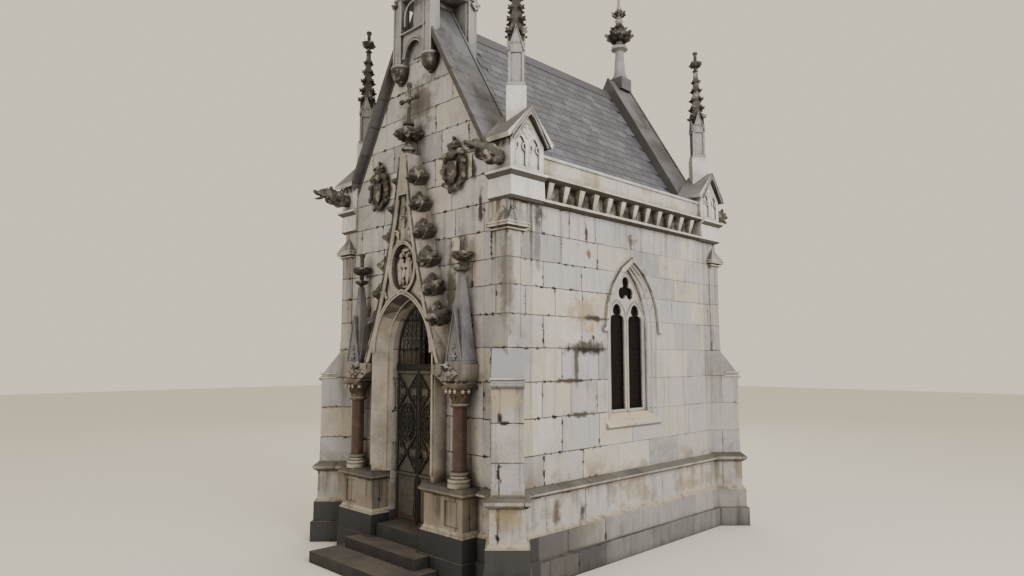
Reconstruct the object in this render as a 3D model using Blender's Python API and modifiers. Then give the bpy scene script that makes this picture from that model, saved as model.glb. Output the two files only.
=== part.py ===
"""A small Gothic burial chapel of cut limestone, hollow inside, with a double door that opens inwards.

X runs across the front, Y from the front to the back and Z up, in metres. The origin lies on the ground,
in the middle of the plan. The front faces -Y.
"""

import math

import bmesh
import bpy
from mathutils import Matrix, Vector

# Clearance between pieces that touch
GAP = 0.0003
# How far joined shapes reach into each other
BITE = 0.012

# Plan: outer faces of the walls above the plinth
WALL_X = 1.995
WALL_Y = 2.75
WALL_THICKNESS = 0.45
GABLE_THICKNESS = 0.60
PIER_SIDE = 0.48

# Heights
FLOOR_TOP = 0.50
WALL_TOP = 5.09

# Plinth and string course: how far they stand out from the wall, and their heights
LOWER_BASE_OUT = 0.126
LOWER_BASE_TOP = 0.31
UPPER_BASE_OUT = 0.090
UPPER_BASE_TOP = 0.63
DADO_OUT = 0.036
DADO_BOTTOM = 0.69
STRING_OUT = 0.117
STRING_DRIP = 1.12
STRING_EDGE_LOW = 1.160
STRING_EDGE_HIGH = 1.185
STRING_TOP = 1.245

# Diagonal buttresses: reach beyond the wall corner, and half widths
BUTTRESS_REACH = 0.30
BUTTRESS_HALF = 0.2075
BUTTRESS_ROOT = 0.25
SETOFF_TIP = 0.05
SETOFF_LOW = 2.62
SETOFF_TOP = 3.09
UPPER_PIER_OUT = 0.04
ARRIS_CHAMFER = 0.024
UPPER_PIER_FACE = 0.288
UPPER_PIER_TOP = 4.77
PIER_CAP_OUT = 0.065
PIER_CAP_RISE = 0.24

# Corner blocks with their gablets
BLOCK_OUT_X = 0.10
BLOCK_OUT_Y = 0.04
BLOCK_LENGTH = 0.67
BLOCK_TOP = 5.50
BAND_OUT = 0.055
GABLET_EAVES = 5.93
GABLET_RISE = 0.46
GABLET_OVERHANG = 0.13
GABLET_SLAB = 0.075
PEDESTAL_HALF = 0.14
PEDESTAL_TOP = 6.705

# Gables and roof
GABLE_APEX = 8.74
GABLE_SLOPE = 1.70
COPING_HEIGHT = 0.28
COPING_OVERHANG = 0.13
COPING_LIP = 0.035
COPING_LIP_WIDTH = 0.05
COPING_EDGE = 0.11
RIDGE_TOP = 8.43
# The slates end this far inside the side walls' outer faces, and this far above the corner blocks
EAVES_IN = 0.375
EAVES_RISE = 0.257
ROOF_BEARING = 0.12
ROOF_THICKNESS = 0.14
SLATE_COURSES = 12
SLATE_STEP = 0.018
ROOF_HALF = WALL_X - EAVES_IN
EAVES_Z = BLOCK_TOP + EAVES_RISE
ROOF_SLOPE = (RIDGE_TOP - EAVES_Z) / ROOF_HALF
# The corner blocks, the parapet and the gutters stand clear of the slates' lower edge
EAVES_CLEARANCE = 0.02
BLOCK_INNER_X = ROOF_HALF + EAVES_CLEARANCE

# Side cornice and parapet
CORNICE_FACE_IN = 0.09
CORNICE_OUT = 0.115
CORBELS = 12
CORBEL_PITCH = 0.347
PARAPET_TOP = EAVES_Z + 0.003
PARAPET_WIDTH = 0.22
PARAPET_OUT = 0.025
GUTTER_OUT = 0.05
GUTTER_SHEET = 0.012
GUTTER_LIP = 0.040

# Doorway
DOOR_HALF = 0.55
DOOR_SPRING = 3.04
DOOR_RISE = 0.785
DOOR_SETBACK = 0.09
LEAF_THICKNESS = 0.05
LEAF_TOP = 2.765
LEAF_CLEARANCE = 0.003
HINGE_GAP = 0.004
TRANSOM_TOP = 2.87
LEAF_STILE = 0.045
KICK_RAIL_Z = 1.22
STRAP_RISE = 0.33
STRAP_PAIR_FROM_BOSS = 0.37
BOSS_HALF_WIDTH = 0.15
BOSS_HALF_HEIGHT = 0.22

# Portal
PORTAL_DEPTH = 0.22
JAMB_HALF = 0.765
PORTAL_MOUTH_HALF = 0.70
PORTAL_FOOT_HALF = 0.94
PORTAL_FOOT_Z = 2.88
PORTAL_TOP_HALF = 0.10
PORTAL_TOP_Z = 6.05
PORTAL_RIM = 0.05
PORTAL_SWEEP = 0.13
PORTAL_BAND = 0.085
RAKE_STEPS = 5
CROCKETS_PER_RAKE = 6
CROCKET_LOW_Z = 3.54
CROCKET_HIGH_Z = 5.68
CROCKET_HALF = 0.085
MANDORLA_Z = 4.31
MANDORLA_HALF_WIDTH = 0.29
MANDORLA_HALF_HEIGHT = 0.36
MANDORLA_BAND = 0.045
MANDORLA_DEPTH = 0.06

# Portal plinth blocks and columns
BLOCK_INSIDE = 0.63
BLOCK_OUTSIDE = 1.44
BLOCK_FRONT_OUT = 0.28
BLOCK_CAP_OUT = 0.062
COLUMN_X = 1.242
COLUMN_OUT = 0.166
COLUMN_BASE_RADIUS = 0.162
COLUMN_BASE_TOP = 1.449
SHAFT_RADIUS = 0.0975
SHAFT_TOP = 2.298
CAPITAL_TOP = 2.586
ABACUS_HALF = 0.19
ROUND_SIDES = 10

# Side pinnacles of the portal
SIDE_PINNACLE_HALF = 0.18
SIDE_PINNACLE_SHOULDER_Z = 3.62
SIDE_PINNACLE_NECK_Z = 4.13
SIDE_PINNACLE_TOP_Z = 4.65

# Steps
STEP_LOW_TOP = 0.16
STEP_MIDDLE_TOP = 0.31
STEP_LOW_HALF = 1.035
STEP_MIDDLE_HALF = 0.84
THRESHOLD_FRONT = 0.256
STEP_MIDDLE_FRONT = 0.60
STEP_LOW_FRONT = 1.075

# Side windows
WINDOW_HALF = 0.49
WINDOW_Y = 0.05
WINDOW_SILL = 2.11
WINDOW_SPRING = 3.42
WINDOW_RISE = 0.97
WINDOW_SPLAY = 0.14
WINDOW_SPLAY_DEPTH = 0.09
TRACERY_DEPTH = 0.05
LIGHT_SPRING_UP = 0.14
LIGHT_RISE = 0.28
EYE_UP = 0.64
GLASS_THICKNESS = 0.02
MULLION = 0.075

# Bell turret
TURRET_HALF = 0.468
TURRET_FRONT_OUT = 0.135
TURRET_SHAFT = 0.17
TURRET_WALL_IN = 0.045
TURRET_WEB = 0.10
TURRET_CORBEL_LOW = 7.29
TURRET_CORBEL_HIGH = 7.56
TURRET_LEDGE = 8.055
TURRET_EAVES = 8.62
TURRET_SPIRE_TOP = 10.55

# Corner pinnacles
PINNACLE_SHAFT_HALF = 0.1125
PINNACLE_SHAFT_TOP = 7.31
PINNACLE_GABLET_TOP = 7.60
PINNACLE_SPIRE_TOP = 8.42
PINNACLE_CROCKET_LEVELS = 5
PINNACLE_IN = 0.135

# Finials: how high they stand, and how far in from the wall's face
REAR_FINIAL_HEIGHT = 2.0
REAR_FINIAL_IN = 0.17
PORTAL_FINIAL_HEIGHT = 1.15
PORTAL_FINIAL_OUT = 0.17

# Coats of arms
ARMS_X = 0.936
ARMS_Z = 5.70

FRONT = Matrix(((1, 0, 0, 0), (0, 0, -1, 0), (0, 1, 0, 0), (0, 0, 0, 1)))
SIDE = Matrix(((0, 0, 1, 0), (1, 0, 0, 0), (0, 1, 0, 0), (0, 0, 0, 1)))
ROOT_TWO = math.sqrt(2)

for old in list(bpy.data.objects):
    bpy.data.objects.remove(old, do_unlink=True)

PARTS = bpy.data.collections.new("mausoleum")
TOOLS = bpy.data.collections.new("cutters")
bpy.context.scene.collection.children.link(PARTS)
bpy.context.scene.collection.children.link(TOOLS)


# Materials

def material(name, colour, roughness, metallic=0.0):
    made = bpy.data.materials.new(name)
    made.use_nodes = True
    shader = made.node_tree.nodes["Principled BSDF"]
    shader.inputs["Base Color"].default_value = (*colour, 1.0)
    shader.inputs["Roughness"].default_value = roughness
    shader.inputs["Metallic"].default_value = metallic
    return made


LIMESTONE = material("limestone", (0.44, 0.42, 0.38), 0.85)
DARK_LIMESTONE = material("crusted limestone", (0.16, 0.155, 0.15), 0.9)
STEP_STONE = material("step stone", (0.20, 0.19, 0.18), 0.85)
MARBLE = material("red-brown marble", (0.085, 0.035, 0.033), 0.4)
LEAF_STONE = material("capital stone", (0.30, 0.21, 0.12), 0.8)
SLATE = material("slate", (0.115, 0.125, 0.145), 0.6)
ZINC = material("zinc", (0.55, 0.62, 0.70), 0.4, 0.6)
IRON = material("painted iron", (0.045, 0.045, 0.038), 0.6, 0.4)
GLAZING = material("dark glazing", (0.012, 0.011, 0.010), 0.25)


# Mesh tools

def to_mesh(builder):
    """Merge doubles, point the faces outwards and hand back a plain mesh."""
    bmesh.ops.remove_doubles(builder, verts=builder.verts, dist=0.00001)
    bmesh.ops.recalc_face_normals(builder, faces=builder.faces)
    mesh = bpy.data.meshes.new("shape")
    builder.to_mesh(mesh)
    builder.free()
    return mesh


def cleaned(mesh):
    builder = bmesh.new()
    builder.from_mesh(mesh)
    bpy.data.meshes.remove(mesh)
    return to_mesh(builder)


def evaluated(thing):
    """Turn an object with its modifiers, or a curve, into a mesh and remove the object."""
    bpy.context.view_layer.update()
    graph = bpy.context.evaluated_depsgraph_get()
    mesh = bpy.data.meshes.new_from_object(thing.evaluated_get(graph))
    data = thing.data
    bpy.data.objects.remove(thing, do_unlink=True)
    if isinstance(data, bpy.types.Curve):
        bpy.data.curves.remove(data)
    else:
        bpy.data.meshes.remove(data)
    return cleaned(mesh)


def tool(mesh):
    thing = bpy.data.objects.new("tool", mesh)
    thing.hide_render = True
    thing.display_type = "WIRE"
    TOOLS.objects.link(thing)
    return thing


def slab(loops, thickness):
    """A flat outline, with holes where a loop lies inside another, as a plate centred on z = 0."""
    curve = bpy.data.curves.new("outline", "CURVE")
    curve.dimensions = "2D"
    curve.fill_mode = "BOTH"
    curve.extrude = thickness / 2
    for loop in loops:
        spline = curve.splines.new("POLY")
        spline.points.add(len(loop) - 1)
        for point, (u, v) in zip(spline.points, loop):
            point.co = (u, v, 0, 1)
        spline.use_cyclic_u = True
    return evaluated(tool(curve))


def prism_x(loops, low, high):
    """Outlines in (Y, Z), extruded along X from low to high."""
    mesh = slab(loops, high - low)
    mesh.transform(Matrix.Translation(((low + high) / 2, 0, 0)) @ SIDE)
    return mesh


def prism_y(loops, low, high):
    """Outlines in (X, Z), extruded along Y from low to high."""
    mesh = slab(loops, high - low)
    mesh.transform(Matrix.Translation((0, (low + high) / 2, 0)) @ FRONT)
    return mesh


def prism_z(loops, low, high):
    """Outlines in (X, Y), extruded along Z from low to high."""
    mesh = slab(loops, high - low)
    mesh.transform(Matrix.Translation((0, 0, (low + high) / 2)))
    return mesh


def box(x0, x1, y0, y1, z0, z1):
    middle = Vector(((x0 + x1) / 2, (y0 + y1) / 2, (z0 + z1) / 2))
    sizes = Vector((x1 - x0, y1 - y0, z1 - z0))
    builder = bmesh.new()
    bmesh.ops.create_cube(builder, size=1, matrix=Matrix.Translation(middle) @ Matrix.Diagonal((*sizes, 1)))
    return to_mesh(builder)


def block(middle, sizes, turn):
    """A box turned about its middle."""
    builder = bmesh.new()
    place = Matrix.Translation(middle) @ turn @ Matrix.Diagonal((*sizes, 1))
    bmesh.ops.create_cube(builder, size=1, matrix=place)
    return to_mesh(builder)


def ball(middle, radii):
    builder = bmesh.new()
    place = Matrix.Translation(middle) @ Matrix.Diagonal((*radii, 1))
    bmesh.ops.create_icosphere(builder, subdivisions=1, radius=1, matrix=place)
    return to_mesh(builder)


def loft(rings):
    """Extrude the first ring's face from ring to ring; all rings have as many points."""
    builder = bmesh.new()
    face = builder.faces.new([builder.verts.new(point) for point in rings[0]])
    for index, ring in enumerate(rings[1:]):
        made = bmesh.ops.extrude_face_region(builder, geom=[face])
        if index:
            bmesh.ops.delete(builder, geom=[face], context="FACES_ONLY")
        face = next(item for item in made["geom"] if isinstance(item, bmesh.types.BMFace))
        for vertex, point in zip(face.verts, ring):
            vertex.co = point
    return to_mesh(builder)


def level_ring(x0, x1, y0, y1, z):
    """The corners of a level rectangle, anticlockwise from above."""
    return [(x0, y0, z), (x1, y0, z), (x1, y1, z), (x0, y1, z)]


def square_ring(x, y, half, z, depth=None):
    deep = half if depth is None else depth
    return level_ring(x - half, x + half, y - deep, y + deep, z)


def square_tower(x, y, levels):
    """A square shaft of changing width; levels are (z, half) or (z, half, half depth)."""
    return loft([square_ring(x, y, level[1], level[0], *level[2:]) for level in levels])


def turned(x, y, profile, sides=ROUND_SIDES):
    """A turned shape from (radius, z) points that run from the top down; both ends lie on the axis."""
    mesh = bpy.data.meshes.new("profile")
    edges = [(index, index + 1) for index in range(len(profile) - 1)]
    mesh.from_pydata([(radius, 0, z) for radius, z in profile], edges, [])
    thing = tool(mesh)
    screw = thing.modifiers.new("turn", "SCREW")
    screw.steps = sides
    screw.render_steps = sides
    screw.use_merge_vertices = True
    screw.merge_threshold = 0.0001
    made = evaluated(thing)
    made.transform(Matrix.Translation((x, y, 0)))
    return made


def combine(mesh, others, operation):
    """Join others to the mesh, or cut them from it, with exact Booleans."""
    base = tool(mesh)
    group = bpy.data.collections.new("operands")
    bpy.context.scene.collection.children.link(group)
    for other in others:
        group.objects.link(bpy.data.objects.new("operand", other))
    change = base.modifiers.new(operation, "BOOLEAN")
    change.operation = operation
    change.solver = "EXACT"
    change.operand_type = "COLLECTION"
    change.collection = group
    made = evaluated(base)
    for operand in list(group.objects):
        data = operand.data
        bpy.data.objects.remove(operand, do_unlink=True)
        bpy.data.meshes.remove(data)
    bpy.data.collections.remove(group)
    return made


def fused(mesh, *others):
    return combine(mesh, others, "UNION")


def carved(mesh, *others):
    return combine(mesh, others, "DIFFERENCE")


def mirrored(mesh, across_x, across_y):
    """A copy of the mesh on the other side of the middle planes that are asked for."""
    copy = mesh.copy()
    copy.transform(Matrix.Diagonal((-1 if across_x else 1, -1 if across_y else 1, 1, 1)))
    if across_x != across_y:
        copy.flip_normals()
    return copy


def turned_copy(mesh, middle, degrees):
    """A copy of the mesh turned about the vertical line through middle."""
    copy = mesh.copy()
    there = Matrix.Translation((middle[0], middle[1], 0))
    copy.transform(there @ Matrix.Rotation(math.radians(degrees), 4, "Z") @ there.inverted())
    return copy


def keep(name, mesh, finish):
    mesh.name = name
    mesh.materials.clear()
    mesh.materials.append(finish)
    thing = bpy.data.objects.new(name, mesh)
    PARTS.objects.link(thing)
    return thing


def keep_pair(name, mesh, finish):
    """The piece as modelled at +X, and its mirror image at -X."""
    keep(name + "_left", mirrored(mesh, True, False), finish)
    keep(name + "_right", mesh, finish)


def keep_at_corners(name, mesh, finish):
    """The piece as modelled at the front right corner, and its mirror images at the others."""
    for end, across_y in (("front", False), ("rear", True)):
        for side, across_x in (("left", True), ("right", False)):
            keep(f"{name}_{end}_{side}", mirrored(mesh, across_x, across_y), finish)
    bpy.data.meshes.remove(mesh)


# Outlines

def arch(half, spring, rise, steps=4):
    """Points of a pointed arch from its right springing over the apex to its left one."""
    radius = (half * half + rise * rise) / (2 * half)
    sweep = math.atan2(rise, radius - half)
    right = []
    for step in range(steps + 1):
        angle = sweep * step / steps
        right.append((half - radius + radius * math.cos(angle), spring + radius * math.sin(angle)))
    left = [(-u, v) for u, v in reversed(right[:-1])]
    return right + left


def arched_opening(half, sill, spring, rise, steps=4):
    return [(half, sill)] + arch(half, spring, rise, steps) + [(-half, sill)]


def window_opening(half, sill, rise):
    """The outline of a side window, along Y and up."""
    return [(WINDOW_Y + u, v) for u, v in arched_opening(half, sill, WINDOW_SPRING, rise)]


def ellipse(half_width, half_height, middle, count=12):
    points = []
    for step in range(count):
        angle = 2 * math.pi * step / count
        points.append((middle[0] + half_width * math.cos(angle), middle[1] + half_height * math.sin(angle)))
    return points


def foils(middle, reach, radius, count, start, steps=3):
    """A trefoil or quatrefoil: arcs of a circle round each of the lobe centres."""
    points = []
    spread = math.radians(105)
    for lobe in range(count):
        facing = start + 2 * math.pi * lobe / count
        centre = (middle[0] + reach * math.cos(facing), middle[1] + reach * math.sin(facing))
        for step in range(steps + 1):
            angle = facing - spread + 2 * spread * step / steps
            points.append((centre[0] + radius * math.cos(angle), centre[1] + radius * math.sin(angle)))
    return points


def plinth_profile():
    """The wall's foot from the ground to the top of the string course, as (out from the wall, z)."""
    return [
        (LOWER_BASE_OUT, 0), (LOWER_BASE_OUT, LOWER_BASE_TOP), (UPPER_BASE_OUT, LOWER_BASE_TOP + 0.01),
        (UPPER_BASE_OUT, UPPER_BASE_TOP), (DADO_OUT, DADO_BOTTOM), (DADO_OUT, STRING_DRIP),
        (STRING_OUT, STRING_EDGE_LOW), (STRING_OUT, STRING_EDGE_HIGH), (0, STRING_TOP),
    ]


def gable_line(x, below=0.0):
    return GABLE_APEX - below - GABLE_SLOPE * abs(x)


# Floor, steps and walls

def make_floor():
    inside_x = WALL_X - WALL_THICKNESS - GAP
    inside_y = WALL_Y - GABLE_THICKNESS - GAP
    keep("floor_slab", box(-inside_x, inside_x, -inside_y, inside_y, 0, FLOOR_TOP), STEP_STONE)


def step_outline(half, front, tongue_half, tongue_back):
    """A step's plan: a slab before the portal blocks, with a tongue between them."""
    wide_back = -WALL_Y - BLOCK_FRONT_OUT - BLOCK_CAP_OUT - 0.02
    return [
        (-half, -WALL_Y - front), (half, -WALL_Y - front), (half, wide_back), (tongue_half, wide_back),
        (tongue_half, tongue_back), (-tongue_half, tongue_back), (-tongue_half, wide_back),
        (-half, wide_back),
    ]


def make_steps():
    between = BLOCK_INSIDE - BLOCK_CAP_OUT - 0.02
    threshold_front = -WALL_Y - THRESHOLD_FRONT
    tongue_back = threshold_front - GAP
    low = step_outline(STEP_LOW_HALF, STEP_LOW_FRONT, between, tongue_back)
    keep("step_lower", prism_z([low], 0, STEP_LOW_TOP), STEP_STONE)
    middle = step_outline(STEP_MIDDLE_HALF, STEP_MIDDLE_FRONT, between, tongue_back)
    keep("step_middle", prism_z([middle], STEP_LOW_TOP + GAP, STEP_MIDDLE_TOP), STEP_STONE)
    inner_face = -WALL_Y + GABLE_THICKNESS - GAP * 2
    through = DOOR_HALF - GAP
    plan = [
        (-between, threshold_front), (between, threshold_front), (between, -WALL_Y - GAP),
        (through, -WALL_Y - GAP), (through, inner_face), (-through, inner_face),
        (-through, -WALL_Y - GAP), (-between, -WALL_Y - GAP),
    ]
    keep("threshold", prism_z([plan], 0, FLOOR_TOP), STEP_STONE)


def wall_end():
    return WALL_X - PIER_SIDE - GAP


def make_front_wall():
    end = wall_end()
    ear = BLOCK_INNER_X - GAP
    under = COPING_HEIGHT + GAP
    seat = TURRET_WEB
    door = arch(DOOR_HALF, DOOR_SPRING, DOOR_RISE)
    outline = [(-end, 0), (-DOOR_HALF, 0)]
    outline += list(reversed(door))
    outline += [
        (DOOR_HALF, 0), (end, 0), (end, WALL_TOP + GAP), (ear, WALL_TOP + GAP),
        (ear, gable_line(ear, under)), (seat, gable_line(seat, under)),
        (-seat, gable_line(seat, under)), (-ear, gable_line(ear, under)),
        (-ear, WALL_TOP + GAP), (-end, WALL_TOP + GAP),
    ]
    keep("front_gable_wall", prism_y([outline], -WALL_Y, -WALL_Y + GABLE_THICKNESS), LIMESTONE)


def plinth_section(face, inside):
    """The plinth's cross-section on a wall whose outer face stands at `face`."""
    return [(inside, 0)] + [(face + out, z) for out, z in plinth_profile()] + [(inside, STRING_TOP)]


def make_rear_wall():
    """The wall's cross-section runs across the back. One outline cuts its ends, shoulders and gable."""
    end = wall_end()
    ear = BLOCK_INNER_X - GAP
    under = COPING_HEIGHT + GAP
    inside = WALL_Y - GABLE_THICKNESS
    peak = gable_line(0, under)
    section = plinth_section(WALL_Y, inside)[:-1] + [(WALL_Y, peak + 0.5), (inside, peak + 0.5)]
    wide = max(ear, end) + 0.01
    wall = prism_x([section], -wide, wide)
    shoulder = WALL_TOP + GAP
    right = [(end, -1), (end, shoulder), (ear, shoulder), (ear, gable_line(ear, under)), (0, peak)]
    left = [(-u, v) for u, v in reversed(right[:-1])]
    beyond = wide + 1
    around = [(-beyond, -1), (-beyond, peak + 1), (beyond, peak + 1), (beyond, -1)]
    keep("rear_gable_wall", carved(wall, prism_y([right + left + around], inside - 1, WALL_Y + 1)), LIMESTONE)


def window_hood():
    """The moulding round the window head, with level stops at the springing."""
    inner_half = WINDOW_HALF + WINDOW_SPLAY + 0.05
    outer_half = inner_half + 0.07
    outer = arch(outer_half, WINDOW_SPRING, WINDOW_RISE + 0.18)
    inner = arch(inner_half, WINDOW_SPRING, WINDOW_RISE + 0.10)
    stop = 0.05
    outline = [(outer_half + stop, WINDOW_SPRING - stop), (outer_half + stop, WINDOW_SPRING)]
    outline += outer
    outline += [(-outer_half - stop, WINDOW_SPRING), (-outer_half - stop, WINDOW_SPRING - stop)]
    outline += [(-inner_half, WINDOW_SPRING - stop)] + list(reversed(inner))
    outline += [(inner_half, WINDOW_SPRING - stop)]
    return prism_x([[(WINDOW_Y + u, v) for u, v in outline]], WALL_X - BITE, WALL_X + 0.055)


def make_side_walls():
    """Each side wall: plinth, window opening splayed outwards, sloping sill, hood and small bracket."""
    end = WALL_Y - PIER_SIDE - GAP
    inner = WALL_X - WALL_THICKNESS
    profile = plinth_section(WALL_X, inner)[:-1] + [(WALL_X, WALL_TOP), (inner, WALL_TOP)]
    wall = prism_y([profile], -end, end)
    sill_front = WALL_X + 0.045
    sill = prism_y([[
        (WALL_X - 0.1, WINDOW_SILL), (sill_front, WINDOW_SILL - 0.16), (sill_front, WINDOW_SILL - 0.19),
        (WALL_X, WINDOW_SILL - 0.23), (WALL_X - 0.1, WINDOW_SILL - 0.23),
    ]], WINDOW_Y - WINDOW_HALF - 0.23, WINDOW_Y + WINDOW_HALF + 0.23)
    bracket_z = WINDOW_SPRING + WINDOW_RISE + 0.35
    bracket = loft([
        level_ring(WALL_X - BITE, WALL_X + out, WINDOW_Y - half, WINDOW_Y + half, z)
        for z, half, out in ((bracket_z - 0.03, 0.03, 0.02), (bracket_z + 0.03, 0.035, 0.03),
                             (bracket_z + 0.11, 0.08, 0.08), (bracket_z + 0.17, 0.08, 0.08))
    ])
    wall = fused(wall, sill, window_hood(), bracket)
    straight = prism_x([window_opening(WINDOW_HALF, WINDOW_SILL, WINDOW_RISE)],
                       inner - 0.1, WALL_X - WINDOW_SPLAY_DEPTH)
    rings = []
    for x, grow, drop in ((WALL_X - WINDOW_SPLAY_DEPTH - 0.001, 0.0, 0.0),
                          (WALL_X + 0.02, WINDOW_SPLAY * 1.22, 0.11)):
        half = WINDOW_HALF + grow
        rise = WINDOW_RISE + grow * 0.5
        ring = window_opening(half, WINDOW_SILL - drop, rise)
        rings.append([(x, u, v) for u, v in ring])
    wall = carved(wall, straight)
    wall = carved(wall, loft(rings))
    keep_pair("side_wall", wall, LIMESTONE)


def light_outline(middle, half, sill, spring, rise):
    """One window light: straight sides and a trefoil head."""
    cusp = half * 0.42
    right = [
        (half, sill), (half, spring + rise * 0.15), (cusp, spring + rise * 0.42),
        (half * 0.72, spring + rise * 0.62), (half * 0.42, spring + rise * 0.88), (0.0, spring + rise),
    ]
    left = [(-u, v) for u, v in reversed(right[:-1])]
    return [(middle + u, v) for u, v in right + left]


def make_windows():
    outer = window_opening(WINDOW_HALF - GAP, WINDOW_SILL + GAP, WINDOW_RISE - GAP)
    back = WALL_X - WINDOW_SPLAY_DEPTH - TRACERY_DEPTH - 0.03
    light_half = (WINDOW_HALF - MULLION * 1.1) / 2
    middle = MULLION / 2 + light_half
    foot = WINDOW_SILL + 0.04
    light_spring = WINDOW_SPRING + LIGHT_SPRING_UP
    lights = [light_outline(WINDOW_Y + side * middle, light_half, foot, light_spring, LIGHT_RISE)
              for side in (-1, 1)]
    eye = foils((WINDOW_Y, WINDOW_SPRING + EYE_UP), 0.115, 0.10, 3, math.pi / 2)
    keep_pair("window_tracery", prism_x([outer] + lights + [eye], back, back + TRACERY_DEPTH), LIMESTONE)
    glass = prism_x([outer], back - GAP - GLASS_THICKNESS, back - GAP)
    keep_pair("window_glazing", glass, GLAZING)


# Corner piers and blocks

def diagonal_ring(reach, half, z):
    """A rectangle that reaches out along the diagonal of the front right corner."""
    corner = Vector((WALL_X, -WALL_Y, z))
    out = Vector((1, -1, 0)) / ROOT_TWO
    across = Vector((1, 1, 0)) / ROOT_TWO
    return [corner - out * BUTTRESS_ROOT - across * half, corner + out * reach - across * half,
            corner + out * reach + across * half, corner - out * BUTTRESS_ROOT + across * half]


def corner_ring(out, z):
    """The corner pier's square, with its two outer sides moved out."""
    inner_x = WALL_X - PIER_SIDE
    inner_y = -WALL_Y + PIER_SIDE
    return [(inner_x, -WALL_Y - out, z), (WALL_X + out, -WALL_Y - out, z), (WALL_X + out, inner_y, z),
            (inner_x, inner_y, z)]


def make_corner_piers():
    square = loft([corner_ring(out, z) for out, z in plinth_profile()] + [corner_ring(0, WALL_TOP)])
    reach = BUTTRESS_REACH
    half = BUTTRESS_HALF
    levels = [
        (0, 0.10, 0.098), (LOWER_BASE_TOP, 0.10, 0.098), (LOWER_BASE_TOP + 0.01, 0.06, 0.072),
        (UPPER_BASE_TOP, 0.06, 0.072), (DADO_BOTTOM, 0.015, 0.018), (STRING_DRIP - 0.02, 0.015, 0.018),
        (STRING_EDGE_LOW, 0.09, 0.085), (STRING_EDGE_HIGH + 0.015, 0.09, 0.085), (STRING_TOP + 0.03, 0, 0),
        (SETOFF_LOW - 0.05, 0, 0), (SETOFF_LOW - 0.01, SETOFF_TIP, 0.004), (SETOFF_TOP, -0.02 - reach, 0.0),
    ]
    buttress = loft([diagonal_ring(reach + out, half + wider, z) for z, out, wider in levels])
    tip_x = WALL_X + UPPER_PIER_OUT
    tip_y = -WALL_Y - UPPER_PIER_OUT
    middle_x = tip_x - UPPER_PIER_FACE / 2
    middle_y = tip_y + UPPER_PIER_FACE / 2
    cap = UPPER_PIER_FACE / 2 + PIER_CAP_OUT
    upper = square_tower(middle_x, middle_y, [
        (SETOFF_LOW + 0.1, UPPER_PIER_FACE / 2), (UPPER_PIER_TOP - 0.08, UPPER_PIER_FACE / 2),
        (UPPER_PIER_TOP - 0.045, cap), (UPPER_PIER_TOP, cap),
    ])
    depth = UPPER_PIER_OUT + PIER_CAP_OUT
    inside = 0.05
    low, high = UPPER_PIER_TOP - 0.001, UPPER_PIER_TOP + PIER_CAP_RISE
    front_cap = loft([
        [(middle_x - wide, -WALL_Y - deep, z), (middle_x + wide, -WALL_Y - deep, z),
         (middle_x + wide, -WALL_Y + inside, z), (middle_x - wide, -WALL_Y + inside, z)]
        for z, wide, deep in ((low, cap, depth), (high, 0.004, 0.002))
    ])
    side_cap = loft([
        [(WALL_X - inside, middle_y - wide, z), (WALL_X + deep, middle_y - wide, z),
         (WALL_X + deep, middle_y + wide, z), (WALL_X - inside, middle_y + wide, z)]
        for z, wide, deep in ((low, cap, depth), (high, 0.004, 0.002))
    ])
    pier = fused(square, buttress, upper, front_cap, side_cap)
    wide = ARRIS_CHAMFER * ROOT_TWO
    quarter = Matrix.Rotation(math.radians(45), 4, "Z")
    arrises = []
    for x, y in ((tip_x, tip_y), (tip_x - UPPER_PIER_FACE, tip_y), (tip_x, tip_y + UPPER_PIER_FACE)):
        arrises.append(block((x, y, (SETOFF_TOP + UPPER_PIER_TOP) / 2),
                             (wide, wide, UPPER_PIER_TOP - SETOFF_TOP - 0.30), quarter))
    for ring_point in diagonal_ring(reach, half, (STRING_TOP + SETOFF_LOW) / 2)[1:3]:
        arrises.append(block(ring_point, (wide, wide, SETOFF_LOW - STRING_TOP - 0.35),
                             Matrix.Identity(4)))
    keep_at_corners("corner_pier", carved(pier, *arrises), LIMESTONE)


def lancet_panel(middle, half, sill, spring, rise):
    return [(middle + u, v) for u, v in arched_opening(half, sill, spring, rise, 2)]


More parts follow.
